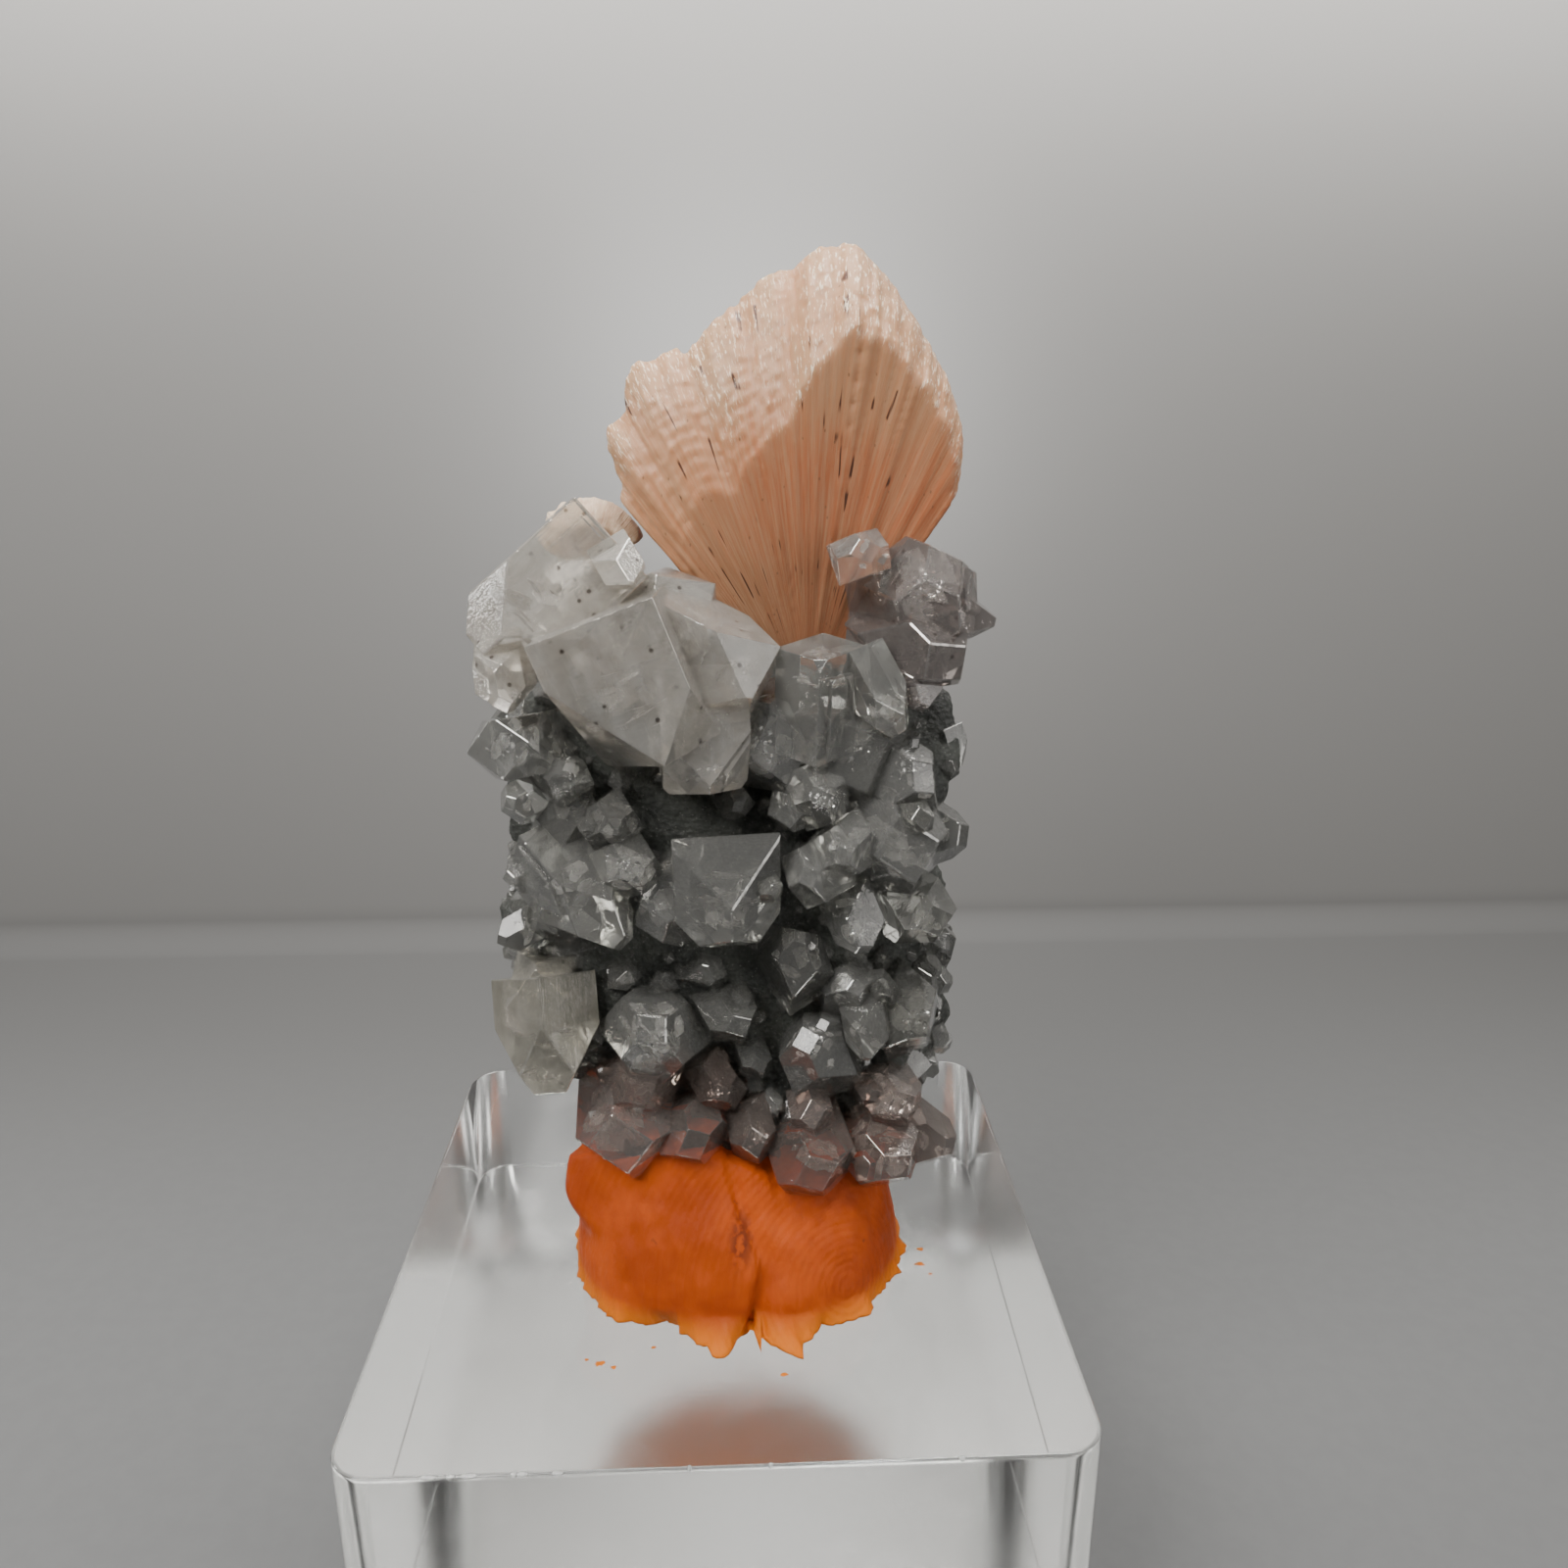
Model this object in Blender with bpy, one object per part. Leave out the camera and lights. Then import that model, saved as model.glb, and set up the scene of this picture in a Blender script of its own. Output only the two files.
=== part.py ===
"""Apophyllite and stilbite cluster, held with mounting putty on a clear acrylic block.

The origin is the centre of the block's underside. +Z is up, the specimen's front looks
towards -Y and the block's front face runs along X. Blender units are metres; the sizes
and places below are written in millimetres and scaled by MM.
"""
import math
import random
from dataclasses import dataclass

import bmesh
import bpy
from mathutils import Matrix, Vector, noise

MM = 0.001

# Clearance that touching pieces keep, and the distance under which points are one point
GAP = 0.3
WELD = 0.0005

# Acrylic display block, a two inch square one inch high
BLOCK_SIDE = 50.8
BLOCK_HEIGHT = 25.4
BLOCK_CORNER_RADIUS = 3.0
BLOCK_CORNER_SEGMENTS = 6
BLOCK_EDGE_CHAMFER = 0.35
BLOCK_SHARP_ANGLE = math.radians(30.0)

# Basalt matrix: angular chunks, each a centre, half sizes and how many corners it has
MATRIX_SEED = 7
MATRIX_SQUARENESS = 3.4
MATRIX_SKIN = 1.8
MATRIX_CHUNKS = (
    ((1.4, 1.6, 51.0), (15.6, 7.4, 20.6), 34),
    ((-10.6, 0.6, 50.5), (6.8, 6.6, 8.6), 20),
    ((-9.0, 0.8, 63.5), (8.0, 6.6, 9.6), 22),
    ((11.0, 0.4, 62.5), (7.4, 6.8, 9.6), 22),
    ((12.6, 0.4, 47.0), (6.6, 7.0, 11.0), 22),
    ((3.2, -0.4, 36.6), (13.4, 7.2, 6.6), 24),
    ((3.6, 0.8, 70.0), (12.0, 5.6, 5.0), 20),
    ((3.0, 7.0, 51.0), (9.6, 3.6, 9.6), 18),
    ((-4.0, 6.4, 63.0), (8.4, 4.0, 6.4), 16),
)

# Stilbite sheaf: laths that spread from one point, in columns from left to right
# and in layers from the front to the back
SHEAF_ROOT = (6.9, 0.2, 69.2)
SHEAF_LEFT = -38.5
SHEAF_RIGHT = 30.0
SHEAF_COLUMNS = 12
SHEAF_TILTS = (-13.0, -7.0, 0.0, 6.0, 11.0)
SHEAF_SHORTENING = (1.0, 0.5, 0.0, 0.35, 0.8)
SHEAF_START = 2.5

# The outermost columns stop this many degrees past the right one, and tilt less the
# further they turn: not at all at the taper angle
SHEAF_OVERRUN = 1.0
SHEAF_TILT_TAPER = 160.0

# Laths overlap their neighbours, thin towards the root and end in a slant
LATH_OVERLAP = 1.25
LATH_THICKNESS_RISE = math.tan(math.radians(7.0))
LATH_ROOT_DEPTH = 0.35
LATH_LEAST_REACH = 0.5
LATH_END_LEAN = 0.42
LATH_END_LEANS = (-0.3, 0.9)
LEAN_SPAN = 3.0

# Reach of the sheaf's outline at given angles from upright, left negative
SHEAF_OUTLINE = (
    (-41.0, 20.6), (-35.5, 23.9), (-26.0, 26.4), (-19.0, 26.5), (-11.7, 27.2),
    (-5.9, 28.2), (-1.9, 29.6), (5.3, 29.9), (9.1, 29.0), (16.3, 26.8), (23.7, 24.1),
    (27.3, 22.7), (33.0, 19.0),
)
# How much shorter the front laths are than the outline, at given angles
SHEAF_SLOPE = ((-41.0, 8.0), (-20.0, 10.0), (-4.0, 8.0), (3.0, 3.4), (12.0, 1.4), (33.0, 0.2))

# Small cream stilbite sheaf at the upper left
KNOB_ROOT = (-8.6, 1.6, 79.4)
KNOB_REACHES = (5.0, 4.7, 4.4)
KNOB_TURNS = (-58.0, -36.0, -14.0, 8.0, 30.0, 50.0)
KNOB_TILTS = (12.0, -10.0)
KNOB_LATH = (2.6, 3.4)
KNOB_START = 0.6
KNOB_LEAN = -0.4

# Mounting putty: a mound between the block's top and the specimen's foot
PUTTY_CENTRE = (1.4, -3.6)
PUTTY_EDGE_HEIGHT = 0.6
PUTTY_LEAN = (0.13, 0.42)
PUTTY_SPOKES = 40
PUTTY_RINGS = 8
PUTTY_CLIMB_CURVE = 1.2
PUTTY_BULGE = 0.05
PUTTY_FOLD_X = 1.7
PUTTY_FOLD_WIDTH = 1.0
PUTTY_FOLD_DEPTH = 1.6
PUTTY_LUMP = (5.0, 1.2)

# Outline of the mound above its ragged foot, and the share of the climb that is ragged
PUTTY_RAGGED_SHARE = 0.22
PUTTY_BODY = (
    (-11.4, -3.0), (-10.4, -8.0), (-8.0, -11.2), (-3.6, -13.0), (1.4, -13.6),
    (6.4, -13.2), (10.6, -11.2), (13.4, -7.0), (14.0, -2.0), (12.6, 4.2),
    (8.2, 7.8), (1.5, 9.0), (-5.0, 8.0), (-9.8, 4.2),
)

# Height of the putty's upper rim from left to right
PUTTY_TOP = (
    (-12.0, 37.5), (-10.4, 35.2), (-4.7, 37.6), (-2.6, 38.4), (0.5, 36.8),
    (4.4, 34.8), (10.2, 34.8), (13.0, 33.4),
)

# Outline of the putty's foot, from the front left round to the front right, then the back
PUTTY_FOOT = (
    (-11.6, -3.7), (-10.1, -8.7), (-8.5, -11.0), (-5.9, -12.2), (-3.7, -12.0),
    (-2.4, -13.4), (-1.0, -15.0), (0.7, -16.1), (1.0, -14.1), (2.3, -12.9),
    (2.9, -14.2), (3.0, -16.0), (5.9, -16.4), (5.8, -14.3), (8.1, -12.9),
    (10.8, -12.3), (11.6, -10.0), (14.1, -6.7), (14.4, -2.0), (12.8, 4.5),
    (8.5, 8.2), (1.5, 9.6), (-5.0, 8.6), (-10.2, 4.6),
)

# Apophyllite faces: the point's faces lean this much from the crystal's flat end
POINT_FACE_ANGLE = math.radians(60.0)


@dataclass(frozen=True)
class Crystal:
    """A square prism whose four point faces stand over the prism's edges."""

    end: tuple
    aim: tuple
    across: float
    length: float
    roll: float = 0.0
    blunt: float = 1.0


# Milky mass at the upper left, with the long striated prism and the hanging teeth
UPPER_LEFT = (
    Crystal((-14.9, -7.6, 74.9), (-0.74, -0.18, -0.65), 6.2, 11.2, 6, 1.9),
    Crystal((-3.4, -7.8, 68.2), (0.36, -0.02, -0.93), 9.4, 10.2, 4, 5.4),
    Crystal((-13.4, -10.4, 72.0), (0.05, -0.80, -0.50), 3.4, 5.3, 12, 0.8),
    Crystal((3.3, -8.6, 72.6), (0.88, -0.22, -0.42), 5.8, 8.6, 6, 3.2),
    Crystal((-0.5, -8.6, 65.5), (0.06, -0.20, -0.98), 5.6, 8.6, -10, 2.7),
    Crystal((-4.9, -10.6, 79.8), (0.30, -0.85, -0.30), 2.6, 4.4, 30, 0.3),
    Crystal((-2.2, -7.6, 77.6), (0.45, -0.78, 0.44), 6.8, 7.4, 25, 3.6),
)

# Pinkish block under the sheaf, and the bank of clear crystals down the right side
RIGHT_BANK = (
    Crystal((7.3, -8.0, 75.2), (0.02, -0.14, 0.99), 4.3, 7.4, 45, 5.4),
    Crystal((12.4, -9.2, 69.5), (0.45, -0.35, -0.82), 3.0, 6.2, 20, 1.0),
    Crystal((4.4, -8.8, 68.2), (0.15, -0.95, -0.05), 6.0, 6.0, 12, 2.8),
    Crystal((9.4, -9.0, 68.0), (-0.10, -0.95, 0.00), 7.0, 6.6, 28, 3.2),
    Crystal((7.1, -11.0, 65.8), (0.02, -0.95, 0.22), 3.9, 5.6, 25, 0.9),
    Crystal((5.0, -9.4, 63.9), (-0.30, -0.88, 0.00), 3.0, 4.0, 10, 1.2),
    Crystal((14.1, -9.7, 66.5), (0.35, -0.90, 0.25), 5.4, 6.6, 38, 1.6),
    Crystal((12.9, -10.3, 61.6), (0.15, -0.95, 0.05), 7.6, 7.6, 12, 3.0),
    Crystal((13.8, -11.0, 64.2), (0.10, -0.95, 0.25), 2.0, 3.0, 8, 0.9),
    Crystal((17.4, -7.5, 61.7), (0.75, -0.65, 0.10), 4.8, 6.4, 25, 1.2),
    Crystal((8.6, -12.1, 62.0), (-0.15, -0.95, 0.15), 4.0, 5.6, 38, 1.1),
    Crystal((15.4, -9.4, 56.0), (0.30, -0.92, 0.10), 4.0, 5.2, 12, 1.6),
    Crystal((10.3, -9.6, 54.1), (0.10, -0.80, -0.50), 3.8, 6.4, 35, 0.9),
    Crystal((6.4, -11.2, 60.2), (-0.20, -0.93, 0.25), 4.0, 5.6, 30, 0.9),
)

# Smoky crystals at the upper right
UPPER_RIGHT = (
    Crystal((15.2, -8.1, 80.2), (0.22, -0.82, 0.52), 6.8, 8.6, 22, 2.1),
    Crystal((15.6, -8.2, 74.2), (0.30, -0.90, -0.15), 6.2, 7.4, 40, 2.4),
    Crystal((19.2, -5.7, 76.4), (0.85, -0.45, -0.10), 3.6, 7.4, 30, 0.6),
    Crystal((14.0, -8.5, 71.1), (0.10, -0.80, -0.55), 3.2, 5.4, 15, 0.6),
    Crystal((13.2, -2.0, 80.6), (0.10, 0.10, 0.98), 4.6, 9.0, 30, 1.8),
)

# Single crystal that sits on the front of the sheaf
SHEAF_BUD = (
    Crystal((10.0, -8.6, 81.4), (0.05, -0.93, 0.20), 3.1, 3.6, 18, 1.1),
)

# Crystals at the left edge, above the dark hollow
LEFT_BANK = (
    Crystal((-14.2, -8.7, 68.5), (-0.40, -0.90, 0.10), 4.5, 5.2, 12, 2.6),
    Crystal((-9.8, -8.7, 67.3), (0.10, -0.80, 0.55), 2.6, 4.2, 30, 0.9),
    Crystal((-13.6, -8.9, 65.0), (-0.25, -0.92, 0.20), 2.7, 4.4, 35, 0.7),
    Crystal((-10.5, -7.4, 63.6), (-0.15, -0.95, 0.25), 4.2, 4.4, 8, 2.6),
    Crystal((-7.0, -9.5, 63.4), (0.10, -0.93, 0.20), 3.6, 5.2, 30, 1.0),
    Crystal((-11.8, -6.8, 66.6), (-0.20, -0.95, 0.10), 4.0, 4.4, 30, 2.6),
)

# Band across the middle, with the striated prism at its left and the hanging tooth
MIDDLE_BAND = (
    Crystal((1.0, -10.6, 55.1), (0.06, -0.50, -0.86), 7.0, 7.0, 2, 2.3),
    Crystal((-4.4, -9.5, 56.4), (-0.45, -0.80, -0.20), 5.6, 6.4, 20, 1.9),
    Crystal((4.0, -11.4, 59.3), (0.25, -0.93, 0.20), 1.7, 4.2, 15, 0.5),
    Crystal((-5.6, -10.8, 60.6), (0.15, -0.93, 0.20), 4.0, 6.0, 28, 1.2),
    Crystal((-6.3, -10.4, 55.3), (0.62, -0.52, -0.56), 5.0, 9.6, 12, 1.2),
    Crystal((-11.5, -9.0, 56.4), (-0.20, -0.93, 0.15), 4.4, 5.2, 30, 1.4),
    Crystal((-14.3, -7.8, 59.2), (-0.50, -0.85, 0.10), 2.9, 5.0, 15, 0.8),
    Crystal((-15.0, -8.1, 54.6), (-0.50, -0.85, 0.00), 2.7, 5.2, 35, 0.6),
)

# Pale pair at the lower left
LOWER_LEFT = (
    Crystal((-12.9, -8.2, 49.9), (-0.12, -0.97, 0.15), 4.9, 6.6, 3, 2.9),
    Crystal((-12.0, -8.8, 43.0), (0.08, -0.38, -0.92), 5.5, 8.4, 45, 1.8),
)

# Dark, clear crystals of the lower half
LOWER_BAND = (
    Crystal((5.9, -9.7, 55.3), (0.05, -0.62, 0.78), 4.1, 7.0, 30, 0.7),
    Crystal((9.8, -9.5, 51.1), (0.15, -0.88, 0.40), 3.6, 6.0, 12, 0.8),
    Crystal((6.2, -10.2, 47.5), (-0.25, -0.72, 0.62), 4.9, 8.6, 25, 1.3),
    Crystal((14.3, -10.5, 48.5), (0.22, -0.93, 0.20), 5.4, 7.0, 38, 1.3),
    Crystal((10.5, -10.8, 46.2), (-0.10, -0.74, -0.62), 3.1, 6.2, 20, 0.5),
    Crystal((12.0, -10.0, 51.0), (0.00, -0.90, 0.40), 1.9, 4.4, 30, 0.4),
)
LOWER_CENTRE = (
    Crystal((-4.6, -10.7, 48.9), (0.02, -0.85, 0.52), 6.2, 7.4, 40, 1.8),
)

# Brownish crystals along the foot, just above the putty
FOOT_BAND = (
    Crystal((7.0, -12.2, 38.1), (0.02, -0.95, 0.20), 5.6, 8.4, 22, 1.8),
    Crystal((6.8, -9.9, 41.2), (0.00, -0.90, 0.42), 3.4, 5.2, 10, 1.2),
    Crystal((-5.5, -9.8, 43.5), (0.05, -0.93, 0.25), 5.0, 5.8, 30, 1.8),
    Crystal((-7.2, -10.4, 39.7), (-0.10, -0.95, 0.10), 7.2, 7.6, 10, 3.1),
    Crystal((-1.9, -11.0, 39.7), (0.05, -0.93, 0.20), 4.8, 6.8, 25, 1.6),
    Crystal((0.1, -10.0, 43.3), (0.10, -0.93, 0.25), 3.6, 6.0, 33, 0.9),
    Crystal((2.6, -10.2, 39.3), (0.10, -0.93, 0.15), 3.9, 6.2, 10, 1.3),
    Crystal((12.9, -11.0, 37.5), (0.20, -0.93, 0.15), 5.6, 7.8, 38, 1.8),
    Crystal((17.5, -6.9, 36.5), (0.72, -0.66, 0.08), 4.3, 6.6, 20, 1.2),
    Crystal((13.4, -9.6, 41.8), (0.20, -0.93, 0.25), 4.4, 5.4, 20, 1.4),
)

# Crystals on the hidden top and back, which close the cluster round
BACK_BANK = (
    Crystal((-9.6, 1.2, 80.2), (-0.10, -0.05, 0.99), 5.4, 7.0, 28, 2.4),
    Crystal((-7.5, 5.8, 77.8), (0.10, 0.35, 0.92), 5.6, 8.0, 20, 1.8),
    Crystal((-13.2, 1.6, 75.2), (-0.60, 0.10, 0.80), 5.4, 8.0, 35, 1.4),
    Crystal((-2.4, 8.4, 74.4), (0.05, 0.65, 0.75), 5.2, 8.0, 10, 1.6),
    Crystal((-9.2, 10.6, 70.2), (-0.20, 0.95, 0.25), 5.0, 7.0, 30, 1.4),
    Crystal((2.4, 11.0, 70.4), (0.20, 0.93, 0.30), 4.4, 6.5, 25, 1.0),
)

# Small crystals of the matrix's crust: centre and half size of each patch, the way
# that its crystals look, and how many they are
CRUST_SEED = 11
CRUST_PATCHES = (
    ((-15.8, 1.0, 57.0), (0.5, 5.0, 11.0), (-1.0, -0.1, 0.1), 7),
    ((17.6, 1.0, 54.0), (0.4, 5.0, 12.0), (1.0, 0.0, 0.1), 5),
    ((0.0, 9.4, 54.0), (13.0, 0.4, 12.0), (0.0, 1.0, 0.15), 7),
    ((-5.0, -6.2, 60.0), (9.0, 0.3, 6.0), (0.0, -1.0, 0.2), 4),
    ((2.0, -6.2, 50.0), (11.0, 0.3, 6.0), (0.0, -1.0, 0.2), 5),
)
CRUST_SINGLES = (
    Crystal((1.6, -9.4, 48.3), (0.30, -0.93, 0.10), 3.8, 5.4, 20, 1.3),
    Crystal((1.6, -8.3, 64.2), (0.10, -0.95, 0.10), 2.2, 4.4, 35, 0.6),
    Crystal((3.0, -8.4, 44.6), (0.20, -0.95, 0.20), 2.4, 4.4, 10, 0.7),
)
CRUST_ACROSS = (1.8, 3.2)
CRUST_LENGTH = 2.0
CRUST_BLUNT = (0.2, 0.5)
CRUST_PROUD = 1.5
CRUST_SPREAD = 0.35

# Colours, roughness and transmission
ACRYLIC = ((0.93, 0.95, 0.95), 0.03, 1.0)
PUTTY_ORANGE = ((0.80, 0.20, 0.02), 0.55, 0.0)
BASALT = ((0.06, 0.08, 0.07), 0.8, 0.0)
STILBITE = ((0.80, 0.42, 0.27), 0.4, 0.0)
STILBITE_CREAM = ((0.82, 0.62, 0.48), 0.4, 0.0)
MILKY = ((0.55, 0.60, 0.56), 0.15, 0.5)
CLEAR = ((0.60, 0.64, 0.63), 0.08, 0.8)
SMOKY = ((0.40, 0.36, 0.38), 0.10, 0.7)
PALE = ((0.60, 0.58, 0.54), 0.2, 0.4)
BROWNISH = ((0.42, 0.36, 0.33), 0.2, 0.5)


def clear_scene():
    """Remove every object that the scene holds."""
    for item in list(bpy.data.objects):
        bpy.data.objects.remove(item, do_unlink=True)


def make_material(name, finish):
    """Make a Principled material from a colour, a roughness and a transmission."""
    colour, roughness, transmission = finish
    material = bpy.data.materials.new(name)
    material.use_nodes = True
    shader = material.node_tree.nodes["Principled BSDF"]
    shader.inputs["Base Color"].default_value = (*colour, 1.0)
    shader.inputs["Roughness"].default_value = roughness
    shader.inputs["Metallic"].default_value = 0.0
    shader.inputs["Transmission Weight"].default_value = transmission
    return material


def to_object(name, bm):
    """Turn a bmesh in millimetres into an object in metres."""
    bmesh.ops.scale(bm, vec=(MM, MM, MM), verts=bm.verts)
    mesh = bpy.data.meshes.new(name)
    bm.to_mesh(mesh)
    bm.free()
    item = bpy.data.objects.new(name, mesh)
    bpy.context.scene.collection.objects.link(item)
    return item


def slice_off(bm, point, normal):
    """Cut away what lies beyond a plane and close the cut with one face."""
    everything = bm.verts[:] + bm.edges[:] + bm.faces[:]
    cut = bmesh.ops.bisect_plane(
        bm, geom=everything, dist=1e-5, plane_co=point, plane_no=normal, clear_outer=True)
    rim = [part for part in cut["geom_cut"] if isinstance(part, bmesh.types.BMEdge)]
    if rim:
        bmesh.ops.edgenet_fill(bm, edges=rim)


def stand_along(aim, roll):
    """Rotation that turns +Z to the aim, with X kept level and then rolled about the aim."""
    axis = Vector(aim).normalized()
    guide = Vector((0.0, 0.0, 1.0)) if abs(axis.z) < 0.9 else Vector((0.0, -1.0, 0.0))
    level = guide.cross(axis).normalized()
    turned = Matrix((level, axis.cross(level), axis)).transposed()
    return turned.to_4x4() @ Matrix.Rotation(math.radians(roll), 4, "Z")


def crystal_body(crystal, grow=0.0):
    """One crystal: a square prism with its point faces and its blunt end, grown by a skin."""
    bm = bmesh.new()
    half = crystal.across / 2.0 + grow
    top = grow
    bottom = -crystal.length - grow
    bmesh.ops.create_cube(bm, size=2.0)
    bmesh.ops.scale(bm, vec=(half, half, (top - bottom) / 2.0), verts=bm.verts)
    bmesh.ops.translate(bm, vec=(0.0, 0.0, (top + bottom) / 2.0), verts=bm.verts)
    peak = crystal.blunt + grow / math.cos(POINT_FACE_ANGLE)
    for side_x in (1, -1):
        for side_y in (1, -1):
            outward = Vector((side_x, side_y, 0.0)).normalized() * math.sin(POINT_FACE_ANGLE)
            outward.z = math.cos(POINT_FACE_ANGLE)
            slice_off(bm, (0.0, 0.0, peak), outward)
    place = Matrix.Translation(crystal.end) @ stand_along(crystal.aim, crystal.roll)
    bmesh.ops.transform(bm, matrix=place, verts=bm.verts)
    bmesh.ops.recalc_face_normals(bm, faces=bm.faces)
    return bm


def value_at(curve, angle):
    """Read a value from a list of (angle, value) points, straight between them."""
    if angle <= curve[0][0]:
        return curve[0][1]
    for (start, low), (finish, high) in zip(curve, curve[1:]):
        if angle <= finish:
            return low + (high - low) * (angle - start) / (finish - start)
    return curve[-1][1]


def lath_body(root, turn, tilt, reach, width, thickness, start, lean, grow=0.0):
    """One lath: narrow at its root, wide at its tip, with an end that slants by the lean."""
    bm = bmesh.new()
    bmesh.ops.create_cube(bm, size=2.0)
    tip = reach + 0.5 * width * abs(lean) + 0.5 * thickness * LATH_END_LEAN
    for vertex in bm.verts:
        distance = tip + grow if vertex.co.z > 0.0 else start - grow
        share = max(distance, LATH_LEAST_REACH) / reach
        depth = LATH_ROOT_DEPTH + (1.0 - LATH_ROOT_DEPTH) * share
        vertex.co.x *= width / 2.0 * share + grow
        vertex.co.y *= thickness / 2.0 * depth + grow
        vertex.co.z = distance
    front = -LATH_END_LEAN if tilt <= 0.0 else LATH_END_LEAN
    slope = Vector((lean, front, 1.0)).normalized()
    slice_off(bm, Vector((0.0, 0.0, reach)) + slope * grow, slope)
    place = (Matrix.Translation(root) @ Matrix.Rotation(math.radians(turn), 4, "Y")
             @ Matrix.Rotation(math.radians(-tilt), 4, "X"))
    bmesh.ops.transform(bm, matrix=place, verts=bm.verts)
    bmesh.ops.recalc_face_normals(bm, faces=bm.faces)
    return bm


def outline_lean(turn):
    """How much the sheaf's outline falls to the right of a direction, as a slope."""
    before = value_at(SHEAF_OUTLINE, turn - LEAN_SPAN / 2.0)
    after = value_at(SHEAF_OUTLINE, turn + LEAN_SPAN / 2.0)
    lean = (before - after) / (math.radians(LEAN_SPAN) * value_at(SHEAF_OUTLINE, turn))
    return max(LATH_END_LEANS[0], min(LATH_END_LEANS[1], lean))


def sheaf_laths(grow=0.0):
    """All the laths of the large sheaf, column by column and layer by layer."""
    step = (SHEAF_RIGHT - SHEAF_LEFT) / (SHEAF_COLUMNS - 1)
    bodies = []
    for column in range(SHEAF_COLUMNS):
        for layer, tilt in enumerate(SHEAF_TILTS):
            stagger = 0.5 * step if layer % 2 else 0.0
            turn = min(SHEAF_LEFT + step * column + stagger, SHEAF_RIGHT + SHEAF_OVERRUN)
            leaning = tilt * (1.0 - abs(turn) / SHEAF_TILT_TAPER)
            reach = value_at(SHEAF_OUTLINE, turn)
            reach -= value_at(SHEAF_SLOPE, turn) * SHEAF_SHORTENING[layer]
            width = 2.0 * reach * math.tan(math.radians(step / 2.0)) * LATH_OVERLAP
            thickness = 2.0 * reach * LATH_THICKNESS_RISE
            bodies.append(lath_body(SHEAF_ROOT, turn, leaning, reach, width, thickness,
                                    SHEAF_START, outline_lean(turn), grow))
    return bodies


def knob_laths(grow=0.0):
    """The laths of the small cream sheaf."""
    bodies = []
    for order, turn in enumerate(KNOB_TURNS):
        tilt = KNOB_TILTS[order % len(KNOB_TILTS)]
        reach = KNOB_REACHES[order % len(KNOB_REACHES)]
        bodies.append(lath_body(KNOB_ROOT, turn, tilt, reach, *KNOB_LATH, KNOB_START,
                                KNOB_LEAN, grow))
    return bodies


def chunk_body(chance, centre, half, corners, grow):
    """One angular chunk of rock: the hull of corners scattered on a squared ellipsoid."""
    bm = bmesh.new()
    for _ in range(corners):
        way = Vector([chance.gauss(0.0, 1.0) for _ in range(3)])
        reach = sum(abs(part) ** MATRIX_SQUARENESS for part in way) ** (1.0 / MATRIX_SQUARENESS)
        size = [way[i] / reach * (half[i] + MATRIX_SKIN * grow) for i in range(3)]
        bmesh.ops.create_vert(bm, co=Vector(centre) + Vector(size))
    hull = bmesh.ops.convex_hull(bm, input=bm.verts)
    inner = [part for part in hull["geom_interior"] if isinstance(part, bmesh.types.BMVert)]
    bmesh.ops.delete(bm, geom=inner, context="VERTS")
    bmesh.ops.recalc_face_normals(bm, faces=bm.faces)
    return bm


def matrix_bodies(grow=0.0):
    """The chunks of basalt and the small crystals that stand on them."""
    chance = random.Random(MATRIX_SEED)
    chunks = [chunk_body(chance, *chunk, grow) for chunk in MATRIX_CHUNKS]
    return chunks + [crystal_body(crystal, grow) for crystal in crust_crystals()]


def crust_crystals():
    """Small crystals that stand on the matrix, the same ones every time."""
    chance = random.Random(CRUST_SEED)
    crystals = list(CRUST_SINGLES)
    for centre, spread, facing, count in CRUST_PATCHES:
        for _ in range(count):
            spot = [c + s * chance.uniform(-1.0, 1.0) for c, s in zip(centre, spread)]
            aim = [f + chance.uniform(-CRUST_SPREAD, CRUST_SPREAD) for f in facing]
            across = chance.uniform(*CRUST_ACROSS)
            end = Vector(spot) + Vector(aim).normalized() * CRUST_PROUD
            roll = chance.uniform(0.0, 90.0)
            blunt = across * chance.uniform(*CRUST_BLUNT)
            crystals.append(Crystal(tuple(end), tuple(aim), across, CRUST_LENGTH * across,
                                    roll, blunt))
    return crystals


def reach_of(outline, angle):
    """Distance from the putty's centre to an outline round it in one direction."""
    spokes = []
    for x, y in outline:
        dx, dy = x - PUTTY_CENTRE[0], y - PUTTY_CENTRE[1]
        spokes.append((math.atan2(dy, dx) % math.tau, math.hypot(dx, dy)))
    spokes.sort()
    spokes = [(spokes[-1][0] - math.tau, spokes[-1][1])] + spokes
    spokes.append((spokes[1][0] + math.tau, spokes[1][1]))
    return value_at(spokes, angle % math.tau)


def putty_body():
    """The putty mound: rings that climb from the pressed-out foot to the specimen."""
    bm = bmesh.new()
    bmesh.ops.create_circle(bm, cap_ends=True, radius=1.0, segments=PUTTY_SPOKES)
    ring = bm.edges[:]
    for level in range(1, PUTTY_RINGS + 1):
        raised = bmesh.ops.extrude_edge_only(bm, edges=ring)["geom"]
        rim = {part for part in raised if isinstance(part, bmesh.types.BMVert)}
        for vertex in rim:
            vertex.co.z = float(level)
        ring = [edge for edge in bm.edges if rim.issuperset(edge.verts)]
    lid = bmesh.ops.edgeloop_fill(bm, edges=ring)["faces"]
    bmesh.ops.poke(bm, faces=lid)
    for vertex in bm.verts:
        vertex.co = putty_point(vertex.co)
    bmesh.ops.recalc_face_normals(bm, faces=bm.faces)
    return bm


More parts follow.
